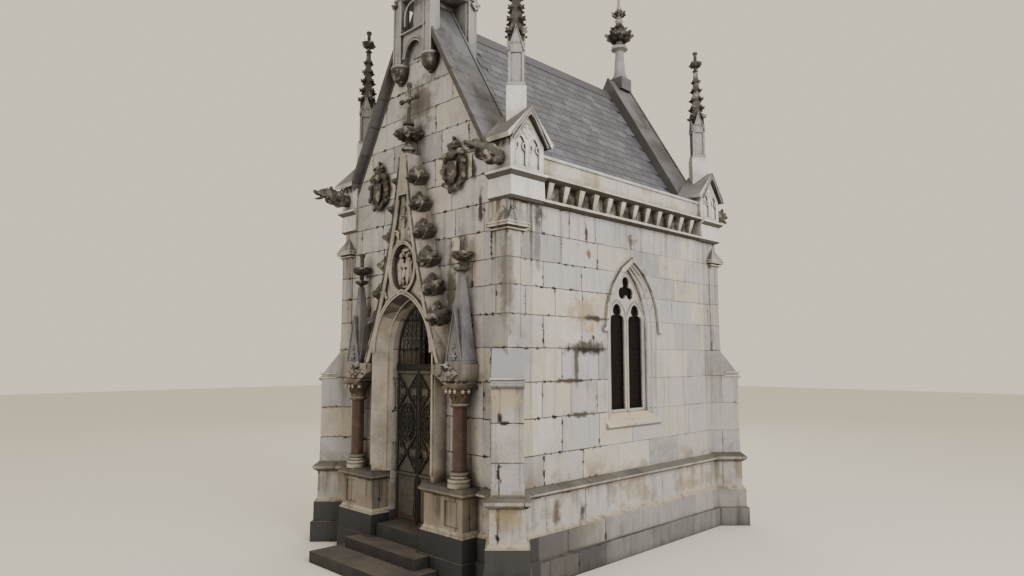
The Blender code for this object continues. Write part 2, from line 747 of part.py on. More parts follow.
def make_corner_blocks():
    """Each block carries a gablet that faces sideways, and a turned pedestal for its pinnacle."""
    x0 = BLOCK_INNER_X
    x1 = WALL_X + BLOCK_OUT_X
    y0 = -WALL_Y - BLOCK_OUT_Y
    y1 = y0 + BLOCK_LENGTH
    middle = (y0 + y1) / 2
    body_half = BLOCK_LENGTH / 2 - 0.01

    def ring(out, z):
        return level_ring(x0, x1 + out, y0 - out, y1, z)

    low = WALL_TOP + GAP
    base = loft([
        ring(-BLOCK_OUT_Y, low), ring(0.0, low + 0.035), ring(-0.012, BLOCK_TOP - 0.11),
        ring(BAND_OUT, BLOCK_TOP - 0.055), ring(BAND_OUT, BLOCK_TOP - 0.02), ring(-0.02, BLOCK_TOP),
    ])
    body = prism_x([[
        (middle - body_half, BLOCK_TOP - BITE), (middle + body_half, BLOCK_TOP - BITE),
        (middle + body_half, GABLET_EAVES - 0.03), (middle, GABLET_EAVES + GABLET_RISE - 0.10),
        (middle - body_half, GABLET_EAVES - 0.03),
    ]], x0, x1 - 0.02)
    eave = body_half + GABLET_OVERHANG
    fall = GABLET_RISE / eave
    slab_low = GABLET_SLAB * math.hypot(1, fall)
    top = GABLET_EAVES + GABLET_RISE
    roof = prism_x([[
        (middle - eave, GABLET_EAVES), (middle, top), (middle + eave, GABLET_EAVES),
        (middle + eave - 0.03, GABLET_EAVES - 0.055), (middle, top - slab_low),
        (middle - eave + 0.03, GABLET_EAVES - 0.055),
    ]], x0, x1 + 0.055)
    turned_square = Matrix.Rotation(math.radians(45), 4, "Z")
    pinnacle_x, pinnacle_y = pinnacle_place()
    pedestal_low = GABLET_EAVES + 0.1
    pedestal = block((pinnacle_x, pinnacle_y, (pedestal_low + PEDESTAL_TOP) / 2),
                     (PEDESTAL_HALF * 2, PEDESTAL_HALF * 2, PEDESTAL_TOP - pedestal_low), turned_square)
    corner = fused(base, body, roof, pedestal)
    panels = [lancet_panel(middle + side * 0.135, 0.10, BLOCK_TOP + 0.05, GABLET_EAVES - 0.10, 0.16)
              for side in (-1, 1)]
    face = x1 - 0.02
    cuts = [prism_x([panel], face - 0.02, face + 0.03) for panel in panels]
    keep_at_corners("corner_block", carved(corner, *cuts), LIMESTONE)


def pinnacle_place():
    y0 = -WALL_Y - BLOCK_OUT_Y
    return WALL_X - PINNACLE_IN, y0 + BLOCK_LENGTH / 2


# Pinnacles and finials

def star_ring(x, y, arris, flank, z):
    """Eight points: the four arrises on the X and Y axes, and a point on each flank between them."""
    points = []
    for step in range(8):
        reach = arris if step % 2 == 0 else flank
        angle = math.pi / 4 * step
        points.append((x + reach * math.cos(angle), y + reach * math.sin(angle), z))
    return points


def shaft_rings(x, y, levels):
    """Square rings with eight points; levels are (z, half width)."""
    return [star_ring(x, y, half * ROOT_TWO, half, z) for z, half in levels]


def gablet_rings(x, y, half, eaves, peak, inner):
    """From a square shaft to a spire: the flanks stay out as gablets, the arrises fall back."""
    return [
        star_ring(x, y, half * ROOT_TWO, half, eaves),
        star_ring(x, y, (inner + 0.02) * ROOT_TWO, half, peak - 0.02),
        star_ring(x, y, (inner + 0.01) * ROOT_TWO, inner, peak),
    ]


def spire_rings(x, y, low, high, half, levels, knob):
    """A square spire whose arrises swell to a leaf knob at every level."""
    rings = []
    rise = (high - low) / levels
    for level in range(levels):
        flank = half * (1 - 0.70 * level / levels)
        narrower = half * (1 - 0.70 * (level + 0.6) / levels)
        swell = knob * (1 - 0.30 * level / levels)
        z = low + rise * level
        rings.append(star_ring(x, y, flank * ROOT_TWO, flank, z + rise * 0.25))
        rings.append(star_ring(x, y, narrower * ROOT_TWO + swell, narrower, z + rise * 0.60))
    return rings


def fleuron_rings(x, y, low, height, reach, stem):
    """A cross-shaped leaf block on its stem: the arrises flare out, the flanks stay close."""
    return [
        star_ring(x, y, stem * ROOT_TWO, stem, low),
        star_ring(x, y, reach, stem * 1.7, low + height * 0.55),
        star_ring(x, y, reach * 0.92, stem * 1.5, low + height),
        star_ring(x, y, stem * ROOT_TWO, stem, low + height + 0.005),
    ]


def make_pinnacles():
    """Shaft, four gablets, crocketed spire, ring, cross-flower and knob, turned to face the corner."""
    x, y = pinnacle_place()
    half = PINNACLE_SHAFT_HALF
    low = PEDESTAL_TOP + GAP
    top = PINNACLE_SPIRE_TOP
    rings = shaft_rings(x, y, [(low, half + 0.005)])
    rings += gablet_rings(x, y, half, PINNACLE_SHAFT_TOP, PINNACLE_GABLET_TOP, half * 0.62)
    rings += spire_rings(x, y, PINNACLE_GABLET_TOP, top, half * 0.60, PINNACLE_CROCKET_LEVELS, 0.055)
    rings += shaft_rings(x, y, [(top + 0.01, 0.055)])
    rings += fleuron_rings(x, y, top + 0.05, 0.17, 0.115, 0.030)
    rings += shaft_rings(x, y, [(top + 0.33, 0.030)])
    keep_at_corners("pinnacle", loft(rings), LIMESTONE)


def make_rear_finial():
    """A tapering stem with a ring, a large cross-flower and a smaller one above it."""
    y = WALL_Y - REAR_FINIAL_IN
    low = GABLE_APEX + 0.10 + GAP
    tall = REAR_FINIAL_HEIGHT
    rings = shaft_rings(0, y, [
        (low, 0.14), (low + tall * 0.03, 0.12), (low + tall * 0.29, 0.085), (low + tall * 0.325, 0.16),
        (low + tall * 0.36, 0.16),
    ])
    rings += fleuron_rings(0, y, low + tall * 0.39, tall * 0.21, tall * 0.165, 0.08)
    rings += fleuron_rings(0, y, low + tall * 0.69, tall * 0.11, tall * 0.095, 0.045)
    rings += shaft_rings(0, y, [(low + tall, 0.03)])
    keep("rear_finial", turned_copy(loft(rings), (0, y), 45), DARK_LIMESTONE)


# Gargoyles

def make_gargoyles():
    """A beast that leans out from the corner block: hexagonal rings along its neck and head."""
    root = -WALL_Y - BLOCK_OUT_Y - GAP
    x = WALL_X - 0.10
    z = BLOCK_TOP + 0.15

    def ring(out, wide, high, lift, ear=0.0):
        points = []
        for step in range(6):
            angle = math.pi / 3 * step
            upper = ear if step in (1, 2) else 0.0
            points.append((x + (wide + upper) * math.cos(angle), root - out,
                           z + lift + high * math.sin(angle) + upper))
        return points

    beast = loft([
        ring(0, 0.08, 0.11, 0), ring(0.24, 0.065, 0.085, 0.02), ring(0.38, 0.085, 0.10, 0.05),
        ring(0.42, 0.09, 0.105, 0.055, 0.075), ring(0.47, 0.10, 0.11, 0.06),
        ring(0.56, 0.085, 0.085, 0.035), ring(0.68, 0.05, 0.04, 0.005),
    ])
    keep_at_corners("gargoyle", beast, DARK_LIMESTONE)


# Roof and copings

def make_roof():
    """An inverted V with a step at each course of slates and a cap along the ridge."""
    right = [(0, RIDGE_TOP + 0.04), (0.13, RIDGE_TOP + 0.04 - 0.13 * ROOF_SLOPE)]
    first = 0.11
    for course in range(1, SLATE_COURSES + 1):
        x = first + (ROOF_HALF - first) * course / SLATE_COURSES
        above = RIDGE_TOP - x * ROOF_SLOPE
        start = first + (ROOF_HALF - first) * (course - 1) / SLATE_COURSES
        right.append((start, RIDGE_TOP - start * ROOF_SLOPE - SLATE_STEP))
        right.append((x, above + SLATE_STEP * (0.35 if course < SLATE_COURSES else 0)))
    inner_x = ROOF_HALF - ROOF_THICKNESS / ROOF_SLOPE
    inside = [(inner_x, EAVES_Z), (0, RIDGE_TOP - ROOF_THICKNESS), (-inner_x, EAVES_Z)]
    left = [(-u, v) for u, v in reversed(right[1:])]
    end = WALL_Y - GABLE_THICKNESS - GAP
    roof = prism_y([right + inside + left], -end, end)
    turret_back = turret_range()[1] + GAP
    notch = box(-TURRET_HALF - GAP, TURRET_HALF + GAP, -end - 0.1, turret_back,
                RIDGE_TOP - 1.2, RIDGE_TOP + 0.2)
    keep("slate_roof", carved(roof, notch), SLATE)


def coping(xs, edge_xs, front, back):
    """A slab along the gable line through the given x, thin in front of the wall, with lips on top."""
    def band(through, low, high):
        upper = [(x, gable_line(x, -high)) for x in through]
        return upper + [(x, gable_line(x, low)) for x in reversed(through)]

    main = fused(prism_y([band(xs, COPING_HEIGHT, 0)], -WALL_Y + GAP, back),
                 prism_y([band(edge_xs, COPING_EDGE, 0)], front, -WALL_Y + 0.1))
    lips = [prism_y([band(edge_xs, 0.06, COPING_LIP)], front - 0.002, front + COPING_LIP_WIDTH),
            prism_y([band(xs, 0.06, COPING_LIP)], back - COPING_LIP_WIDTH, back + 0.002)]
    return main, lips


def make_copings():
    end = BLOCK_INNER_X - GAP
    front = -WALL_Y - COPING_OVERHANG
    back = -WALL_Y + GABLE_THICKNESS - GAP - 0.002
    main, extra = coping([TURRET_WEB + GAP, end], [TURRET_HALF + GAP, end], front, back)
    keep_pair("front_coping", fused(main, *extra), DARK_LIMESTONE)
    main, extra = coping([-end, 0, end], [-end, 0, end], front, back)
    seat = box(-0.17, 0.17, -WALL_Y, -WALL_Y + 0.34, GABLE_APEX - COPING_HEIGHT + 0.12, GABLE_APEX + 0.10)
    whole = fused(main, *extra, seat)
    keep("rear_coping", mirrored(whole, False, True), DARK_LIMESTONE)
    bpy.data.meshes.remove(whole)


# Cornices and gutters

def make_cornices():
    """The corbel table on the side wall, with the parapet that hides the gutter."""
    end = WALL_Y + BLOCK_OUT_Y - BLOCK_LENGTH - GAP
    low = WALL_TOP + GAP
    recess = WALL_X - CORNICE_FACE_IN
    tip = WALL_X + CORNICE_OUT
    parapet = WALL_X + PARAPET_OUT
    parapet_back = parapet - PARAPET_WIDTH
    inner = ROOF_HALF - ROOF_BEARING
    beside = ROOF_HALF + EAVES_CLEARANCE
    plate = EAVES_Z - GAP
    section = [
        (inner, low), (WALL_X, low), (tip - 0.02, low + 0.03), (tip - 0.02, low + 0.065),
        (WALL_X, low + 0.085), (recess, low + 0.085), (recess, BLOCK_TOP - 0.075),
        (WALL_X + 0.045, BLOCK_TOP - 0.06), (tip, BLOCK_TOP - 0.03), (tip, BLOCK_TOP),
        (parapet, BLOCK_TOP + 0.03), (parapet, PARAPET_TOP), (parapet_back, PARAPET_TOP),
        (parapet_back, BLOCK_TOP + 0.06), (beside, BLOCK_TOP + 0.06), (beside, plate), (inner, plate),
    ]
    cornice = prism_y([section], -end, end)
    corbels = []
    for index in range(CORBELS):
        y = (index - (CORBELS - 1) / 2) * CORBEL_PITCH
        corbels.append(loft([
            level_ring(recess - BITE, recess + out, y - half, y + half, z)
            for z, half, out in ((low + 0.08, 0.030, 0.05), (BLOCK_TOP - 0.065, 0.060, 0.13))
        ]))
    keep_pair("side_cornice", fused(cornice, *corbels), LIMESTONE)


def make_gutters():
    """A folded zinc sheet from under the slates over the parapet."""
    end = WALL_Y + BLOCK_OUT_Y - BLOCK_LENGTH - GAP
    low = PARAPET_TOP + GAP
    outer = WALL_X + GUTTER_OUT
    inner = ROOF_HALF + GUTTER_SHEET
    section = [
        (inner, low), (outer, low), (outer, low + GUTTER_LIP), (outer - GUTTER_SHEET, low + GUTTER_LIP),
        (outer - GUTTER_SHEET, low + GUTTER_SHEET), (inner, low + GUTTER_SHEET),
    ]
    keep_pair("gutter", prism_y([section], -end, end), ZINC)


# Portal

def portal_plane():
    return -WALL_Y - PORTAL_DEPTH


def rake_half(z, sweep):
    """Half the portal gable's width at a height; its rakes bend inwards by the sweep, halfway up."""
    share = (z - PORTAL_FOOT_Z) / (PORTAL_TOP_Z - PORTAL_FOOT_Z)
    straight = PORTAL_FOOT_HALF + (PORTAL_TOP_HALF - PORTAL_FOOT_HALF) * share
    return straight - 4 * sweep * share * (1 - share)


def rake_line(sweep, inwards=0.0):
    """Points up the right rake, from foot to top."""
    low = PORTAL_FOOT_Z + GAP
    heights = [low + (PORTAL_TOP_Z - low) * step / RAKE_STEPS for step in range(RAKE_STEPS + 1)]
    return [(rake_half(z, sweep) - inwards, z) for z in heights]


def make_portal_gable():
    """Jambs, pointed arch and the steep gable over it, with leaf knobs and the frame of the relief."""
    front = portal_plane()
    back = -WALL_Y - GAP
    foot = STRING_TOP + GAP

    def ring(y, sweep):
        right = [(JAMB_HALF, foot), (JAMB_HALF, PORTAL_FOOT_Z + GAP)] + rake_line(sweep)
        return [(u, y, v) for u, v in right + [(-u, v) for u, v in reversed(right)]]

    plate = loft([ring(front - PORTAL_RIM, PORTAL_SWEEP), ring(back, 0)])
    inner = [point for point in rake_line(PORTAL_SWEEP, PORTAL_BAND) if point[0] > 0.02]
    panel = prism_y([[(-u, v) for u, v in reversed(inner)] + inner[:1] + inner[1:]],
                    front - PORTAL_RIM - 0.1, front)
    jambs = box(-JAMB_HALF - 0.01, JAMB_HALF + 0.01, front - PORTAL_RIM - 0.1, front, foot - 0.1,
                PORTAL_FOOT_Z + 0.002)
    plate = carved(carved(plate, panel), jambs)
    knobs = []
    for index in range(CROCKETS_PER_RAKE):
        z = CROCKET_LOW_Z + (CROCKET_HIGH_Z - CROCKET_LOW_Z) * index / (CROCKETS_PER_RAKE - 1)
        x = (rake_half(z, PORTAL_SWEEP) + rake_half(z, 0)) / 2 + CROCKET_HALF * 0.5
        for side in (-1, 1):
            knobs.append(block((side * x, (front + back) / 2, z), (CROCKET_HALF * 2,) * 3,
                               Matrix.Rotation(math.pi / 4, 4, "Y")))
    ring_out = arched_opening(JAMB_HALF - 0.02, foot + 0.1, DOOR_SPRING, DOOR_RISE + 0.16)
    ring_in = arched_opening(PORTAL_MOUTH_HALF - 0.012, foot + 0.09, DOOR_SPRING, DOOR_RISE + 0.09)
    rib_loop = ring_out + list(reversed(ring_in))
    rib = prism_y([rib_loop], front - 0.03, front + BITE)
    wide = MANDORLA_HALF_WIDTH
    high = MANDORLA_HALF_HEIGHT
    centre = (0, MANDORLA_Z)
    frame = prism_y([ellipse(wide + MANDORLA_BAND, high + MANDORLA_BAND, centre),
                     ellipse(wide - 0.005, high - 0.005, centre)], front - 0.035, front + BITE)
    gable = fused(plate, rib, frame, *knobs)
    rings = []
    for y, half, rise in ((front - 0.1, PORTAL_MOUTH_HALF + 0.06, DOOR_RISE + 0.13),
                          (back + 0.002, DOOR_HALF, DOOR_RISE)):
        rings.append([(u, y, v) for u, v in arched_opening(half, foot - 0.3, DOOR_SPRING, rise)])
    gable = carved(gable, loft(rings))
    pocket = prism_y([ellipse(wide, high, centre)], front - 0.05, front + MANDORLA_DEPTH)
    keep("portal_gable", carved(gable, pocket), LIMESTONE)


def make_relief():
    """Two robed figures side by side with a smaller one between them, on a shallow almond-shaped ground."""
    back = portal_plane() + MANDORLA_DEPTH - GAP
    edge = ellipse(MANDORLA_HALF_WIDTH - GAP * 2, MANDORLA_HALF_HEIGHT - GAP * 2, (0, MANDORLA_Z))
    ground = prism_y([edge], back - 0.02, back)
    figures = []
    for side, tall in ((-1, 0.44), (1, 0.40)):
        x = side * 0.105
        low = MANDORLA_Z - 0.20
        figures.append(loft([
            level_ring(x - wide + lean, x + wide + lean, back - deep, back - 0.01, z)
            for z, wide, deep, lean in ((low, 0.10, 0.05, 0), (low + tall * 0.45, 0.075, 0.075, 0),
                                        (low + tall * 0.72, 0.09, 0.06, -side * 0.02),
                                        (low + tall * 0.82, 0.03, 0.05, -side * 0.02))
        ]))
        figures.append(block((x - side * 0.02, back - 0.05, low + tall * 0.88), (0.075, 0.07, 0.09),
                             Matrix.Rotation(math.radians(12 * side), 4, "Y")))
    leaning = Matrix.Rotation(math.radians(11), 4, "Y")
    figures.append(block((0, back - 0.06, MANDORLA_Z - 0.06), (0.07, 0.055, 0.19), leaning))
    keep("mandorla_relief", fused(ground, *figures), LIMESTONE)


def make_portal_finial():
    y = -WALL_Y - PORTAL_FINIAL_OUT
    low = PORTAL_TOP_Z + GAP
    tall = PORTAL_FINIAL_HEIGHT
    rings = shaft_rings(0, y, [(low, 0.075), (low + tall * 0.045, 0.095)])
    rings += fleuron_rings(0, y, low + tall * 0.13, tall * 0.21, tall * 0.19, 0.05)
    rings += shaft_rings(0, y, [
        (low + tall * 0.385, 0.08), (low + tall * 0.43, 0.08), (low + tall * 0.48, 0.04),
        (low + tall * 0.915, 0.028), (low + tall, 0.045),
    ])
    stem = turned_copy(loft(rings), (0, y), 45)
    arm_z = low + tall * 0.763
    reach = tall * 0.165
    arm = box(-reach, reach, y - 0.024, y + 0.024, arm_z - 0.0225, arm_z + 0.0225)
    knobs = [block((side * reach, y, arm_z), (0.065, 0.065, 0.065), Matrix.Rotation(math.pi / 4, 4, "Y"))
             for side in (-1, 1)]
    keep("portal_finial", fused(stem, arm, *knobs), DARK_LIMESTONE)


def make_portal_plinths():
    """The block that carries the jamb and the column, with a sunk panel in front."""
    def ring(out, z):
        inner = BLOCK_INSIDE - out
        outer = min(BLOCK_OUTSIDE + out, WALL_X - PIER_SIDE - GAP)
        front = -WALL_Y - BLOCK_FRONT_OUT - out
        back = -WALL_Y - GAP
        return level_ring(inner, outer, front, back, z)

    stone = loft([
        ring(0.06, 0), ring(0.06, LOWER_BASE_TOP), ring(0.045, LOWER_BASE_TOP + 0.01),
        ring(0.045, UPPER_BASE_TOP - 0.01), ring(0, DADO_BOTTOM), ring(0, STRING_DRIP),
        ring(BLOCK_CAP_OUT, STRING_EDGE_LOW), ring(BLOCK_CAP_OUT, STRING_EDGE_HIGH),
        ring(BLOCK_CAP_OUT - 0.04, STRING_TOP),
    ])
    front = -WALL_Y - BLOCK_FRONT_OUT
    panel = box(BLOCK_INSIDE + 0.44, BLOCK_OUTSIDE - 0.09, front - 0.02, front + 0.02,
                DADO_BOTTOM + 0.04, STRING_DRIP - 0.05)
    keep_pair("portal_plinth", carved(stone, panel), LIMESTONE)


def make_columns():
    x = COLUMN_X
    y = -WALL_Y - COLUMN_OUT
    wide = COLUMN_BASE_RADIUS
    low = STRING_TOP + GAP
    base = turned(x, y, [
        (0, COLUMN_BASE_TOP), (0.125, COLUMN_BASE_TOP), (0.135, COLUMN_BASE_TOP - 0.025),
        (0.11, COLUMN_BASE_TOP - 0.055), (0.155, COLUMN_BASE_TOP - 0.095), (wide, COLUMN_BASE_TOP - 0.12),
        (wide, low), (0, low),
    ])
    keep_pair("column_base", base, LIMESTONE)
    shaft = turned(x, y, [(0, SHAFT_TOP), (SHAFT_RADIUS, SHAFT_TOP), (SHAFT_RADIUS, COLUMN_BASE_TOP + GAP),
                          (0, COLUMN_BASE_TOP + GAP)])
    keep_pair("column_shaft", shaft, MARBLE)
    bottom = SHAFT_TOP + GAP
    bell = turned_copy(loft([star_ring(x, y, arris, flank, z) for z, arris, flank in (
        (bottom, 0.125, 0.125), (bottom + 0.025, 0.125, 0.125), (bottom + 0.035, 0.105, 0.105),
        (bottom + 0.12, 0.115, 0.115), (CAPITAL_TOP - 0.085, 0.225, 0.165),
        (CAPITAL_TOP - 0.03, 0.20, 0.155),
    )]), (x, y), 45)
    back = -WALL_Y - GAP
    abacus = box(x - ABACUS_HALF, x + ABACUS_HALF, y - ABACUS_HALF, back, CAPITAL_TOP - 0.045, CAPITAL_TOP)
    keep_pair("column_capital", carved(fused(bell, abacus), box(-3, 3, back, 0, 1, 4)), LEAF_STONE)


def make_imposts():
    """The corbelled block over the capital, with a lozenge flower and a ball on its front."""
    low = CAPITAL_TOP + GAP
    back = -WALL_Y - GAP
    front = -WALL_Y - PORTAL_DEPTH - 0.07
    inner = JAMB_HALF + GAP
    outer = COLUMN_X + 0.20
    top = PORTAL_FOOT_Z
    outline = [
        (COLUMN_X - 0.17, low), (COLUMN_X + 0.15, low), (COLUMN_X + 0.17, low + 0.07),
        (outer - 0.01, low + 0.11), (outer, low + 0.16), (outer, top), (inner, top), (inner, top - 0.13),
        (inner + 0.09, top - 0.16), (COLUMN_X - 0.25, low + 0.05),
    ]
    body = prism_y([outline], front, back)
    middle_z = low + 0.155
    flower_x = COLUMN_X - 0.06
    lozenge = prism_y([[(flower_x - 0.16, middle_z), (flower_x, middle_z - 0.10),
                        (flower_x + 0.16, middle_z), (flower_x, middle_z + 0.10)]],
                      front - 0.03, front + BITE)
    flower = ball((flower_x, front - 0.03, middle_z), (0.055, 0.035, 0.045))
    knob = ball((COLUMN_X - 0.15, front - 0.01, top - 0.045), (0.06, 0.07, 0.06))
    impost = carved(fused(body, lozenge, flower, knob), box(-3, 3, -4, 0, top, 4))
    keep_pair("impost_block", impost, LIMESTONE)


def make_portal_pinnacles():
    """A steep pinnacle whose front gablet carries a roll on both edges."""
    x = COLUMN_X
    low = PORTAL_FOOT_Z + GAP
    back = -WALL_Y - GAP
    y = back - SIDE_PINNACLE_HALF * 0.82
    deep = SIDE_PINNACLE_HALF * 0.82 - 0.001
    half = SIDE_PINNACLE_HALF
    neck = SIDE_PINNACLE_NECK_Z
    shoulder = SIDE_PINNACLE_SHOULDER_Z
    tip = SIDE_PINNACLE_TOP_Z
    body = square_tower(x, y, [
        (low, half + 0.01, deep), (low + 0.03, half + 0.01, deep), (low + 0.05, half - 0.01, deep - 0.01),
        (shoulder, 0.095, 0.085), (neck, 0.034), (neck + 0.02, 0.075), (neck + 0.05, 0.075),
        (neck + 0.08, 0.03), (neck + 0.16, 0.03), (neck + 0.23, 0.10), (neck + 0.30, 0.09),
        (neck + 0.31, 0.035), (tip - 0.05, 0.028), (tip, 0.048),
    ])
    front = y - deep
    foot = half - 0.005
    gablet = prism_y([[(x - foot, low + 0.02), (x + foot, low + 0.02), (x, shoulder + 0.02)]],
                     front + 0.01, y + 0.02)
    side = prism_x([[(y - deep + 0.02, low + 0.02), (y + deep - 0.02, low + 0.02), (y, low + 0.30)]],
                   x - half + 0.004, x + half - 0.004)
    keep_pair("portal_pinnacle", fused(body, gablet, side), DARK_LIMESTONE)


def make_coats_of_arms():
    """A blank shield on scrolled mantling under a low crown."""
    x = ARMS_X
    z = ARMS_Z
    face = -WALL_Y - GAP
    lobes = []
    for step in range(14):
        angle = 2 * math.pi * step / 14
        swell = 1.0 + (0.13 if step % 2 else -0.04)
        lobes.append((x + 0.29 * swell * math.cos(angle), z - 0.04 + 0.34 * swell * math.sin(angle)))
    mantle = prism_y([lobes], face - 0.06, face)
    half = [(0.15, 0.12), (0.15, -0.10), (0.09, -0.22), (0, -0.27)]
    edge = half + [(-u, v) for u, v in reversed(half[:-1])]
    shield = prism_y([[(x + u, z + v) for u, v in edge]], face - 0.10, face - 0.05)
    helm = block((x, face - 0.075, z + 0.19), (0.15, 0.10, 0.14), Matrix.Identity(4))
    crown = loft([
        level_ring(x - wide, x + wide, face - deep, face - 0.002, height)
        for height, wide, deep in ((z + 0.25, 0.11, 0.09), (z + 0.34, 0.15, 0.12), (z + 0.38, 0.10, 0.09))
    ])
    top = block((x, face - 0.05, z + 0.42), (0.055, 0.055, 0.09), Matrix.Rotation(math.pi / 4, 4, "Z"))
    keep_pair("coat_of_arms", fused(mantle, shield, helm, crown, top), DARK_LIMESTONE)


# Door

def leaf_front():
    return -WALL_Y + DOOR_SETBACK


def make_door():
    """Two iron leaves with crossed straps, an oval boss and a plain lower panel."""
    front = leaf_front()
    back = front + LEAF_THICKNESS
    low = FLOOR_TOP + LEAF_CLEARANCE
    outer = DOOR_HALF - HINGE_GAP
    inner = LEAF_CLEARANCE / 2
    stile = LEAF_STILE
    kick = KICK_RAIL_Z
    leaf = box(inner, outer, front + 0.012, back, low, LEAF_TOP)
    rails = prism_y([
        [(inner, low), (outer, low), (outer, LEAF_TOP), (inner, LEAF_TOP)],
        [(inner + stile, low + stile), (outer - stile, low + stile), (outer - stile, kick - stile / 2),
         (inner + stile, kick - stile / 2)],
        [(inner + stile, kick + stile / 2), (outer - stile, kick + stile / 2),
         (outer - stile, LEAF_TOP - stile), (inner + stile, LEAF_TOP - stile)],
    ], front, front + 0.014)
    middle = (inner + outer) / 2
    boss_z = (kick + LEAF_TOP) / 2
    straps = []
    reach_x = (outer - inner) / 2 - stile
    for pair_z in (boss_z + STRAP_PAIR_FROM_BOSS, boss_z - STRAP_PAIR_FROM_BOSS):
        for lean in (-1, 1):
            angle = math.atan2(STRAP_RISE, lean * reach_x)
            length = 2 * math.hypot(reach_x, STRAP_RISE) - 0.02
            straps.append(block((middle, front + 0.009, pair_z), (length, 0.016, 0.026),
                                Matrix.Rotation(-angle, 4, "Y")))
    boss = prism_y([ellipse(BOSS_HALF_WIDTH, BOSS_HALF_HEIGHT, (middle, boss_z), 10)],
                   front - 0.004, front + 0.014)
    right = fused(leaf, rails, boss, *straps)
    left = mirrored(right, True, False)
    for name, mesh, side in (("door_leaf_left", left, -1), ("door_leaf_right", right, 1)):
        hinge = Vector((side * (DOOR_HALF - HINGE_GAP / 2), back, 0))
        mesh.transform(Matrix.Translation(-hinge))
        keep(name, mesh, IRON).location = hinge


def make_grille():
    """The transom bar and the iron grille that fills the arch over the door."""
    front = leaf_front()
    half = DOOR_HALF - GAP
    low = LEAF_TOP + LEAF_CLEARANCE
    bar = box(-half, half, front - 0.015, front + LEAF_THICKNESS + 0.015, low, TRANSOM_TOP)
    outer = arched_opening(half, TRANSOM_TOP - 0.01, DOOR_SPRING, DOOR_RISE - GAP)
    holes = []
    for index in range(-1, 2):
        x = index * 0.27
        tall = 0.80 - 0.27 * abs(index)
        holes.append([(x + u, v) for u, v in
                      arched_opening(0.11, TRANSOM_TOP + 0.04, TRANSOM_TOP + tall * 0.55, tall * 0.36, 2)])
    lattice = prism_y([outer] + holes, front + 0.005, front + 0.03)
    keep("tympanum_grille", fused(bar, lattice), IRON)


# Bell turret

def turret_range():
    """Front and back face of the turret."""
    front = -WALL_Y - TURRET_FRONT_OUT
    return front, front + TURRET_HALF * 2


def make_turret():
    """Two front shafts on bowls with an arch between them, a back wall, and a web over the gable."""
    front, back = turret_range()
    middle = (front + back) / 2
    half = TURRET_HALF
    inset = TURRET_WALL_IN
    web = TURRET_WEB
    seat = gable_line(half, COPING_HEIGHT)
    wall_back = -WALL_Y + GABLE_THICKNESS
    back_wall = box(-half + inset, half - inset, wall_back + 0.004, back - inset, seat + BITE,
                    TURRET_EAVES + 0.10)
    core = fused(back_wall, box(-web - 0.02, web + 0.02, -WALL_Y - 0.02, wall_back + 0.05, seat - BITE,
                                TURRET_EAVES + 0.08))
    shaft_at = half - TURRET_SHAFT / 2
    pieces = []
    wall_front = -WALL_Y - GAP
    for side in (-1, 1):
        x = side * shaft_at
        pieces.append(square_tower(x, back - TURRET_SHAFT / 2, [(seat, TURRET_SHAFT / 2),
                                                                 (TURRET_EAVES + 0.12, TURRET_SHAFT / 2)]))
        shaft = box(x - TURRET_SHAFT / 2, x + TURRET_SHAFT / 2, front, front + TURRET_SHAFT,
                    TURRET_CORBEL_HIGH - 0.01, TURRET_EAVES + 0.12)
        bowl = turned(x, front + 0.07, [
            (0, TURRET_CORBEL_HIGH), (0.12, TURRET_CORBEL_HIGH - 0.02), (0.10, TURRET_CORBEL_HIGH - 0.14),
            (0.04, TURRET_CORBEL_LOW + 0.03), (0, TURRET_CORBEL_LOW),
        ], 8)
        pieces += [shaft, bowl]
    arch_half = half - TURRET_SHAFT
    spring = TURRET_CORBEL_HIGH + 0.10
    head = arch(arch_half - 0.03, spring, TURRET_LEDGE - spring - 0.10, 5)
    top = TURRET_LEDGE + 0.02
    screen = prism_y([[(arch_half + 0.02, spring - 0.12), (arch_half - 0.03, spring - 0.12)] + head
                      + [(-arch_half + 0.03, spring - 0.12), (-arch_half - 0.02, spring - 0.12),
                         (-arch_half - 0.02, top), (arch_half + 0.02, top)]], front + 0.03, wall_front + 0.03)
    ledge = prism_x([[(front - 0.02, TURRET_LEDGE), (front - 0.02, TURRET_LEDGE + 0.02),
                      (front + 0.12, TURRET_LEDGE + 0.11), (front + 0.12, TURRET_LEDGE - 0.02)]],
                    -arch_half - 0.03, arch_half + 0.03)
    pieces += [screen, ledge]
    top = TURRET_SPIRE_TOP
    rings = shaft_rings(0, middle, [(TURRET_EAVES + 0.02, half - 0.02)])
    rings += gablet_rings(0, middle, half + 0.02, TURRET_EAVES + 0.06, TURRET_EAVES + 0.58, half * 0.60)
    rings += spire_rings(0, middle, TURRET_EAVES + 0.58, top, half * 0.58, 5, 0.10)
    rings += shaft_rings(0, middle, [(top + 0.04, 0.11)])
    rings += fleuron_rings(0, middle, top + 0.10, 0.26, 0.22, 0.055)
    rings += shaft_rings(0, middle, [(top + 0.50, 0.05)])
    spire = turned_copy(loft(rings), (0, middle), 45)
    knobs = []
    for side in (-1, 1):
        for y in (front + 0.06, back - 0.06):
            knobs.append(block((side * (half - 0.01), y, TURRET_EAVES - 0.02), (0.12, 0.12, 0.12),
                               Matrix.Rotation(math.pi / 4, 4, "X")))
    turret = fused(core, *pieces, spire, *knobs)
    above = -COPING_LIP - GAP
    right = [(1, 6), (1, gable_line(1, above)), (web, gable_line(web, above)),
             (web, gable_line(web, COPING_HEIGHT))]
    clear = prism_y([right + [(-u, v) for u, v in reversed(right)]], wall_front, wall_back + 0.001)
    keep("bell_turret", carved(turret, clear), LIMESTONE)


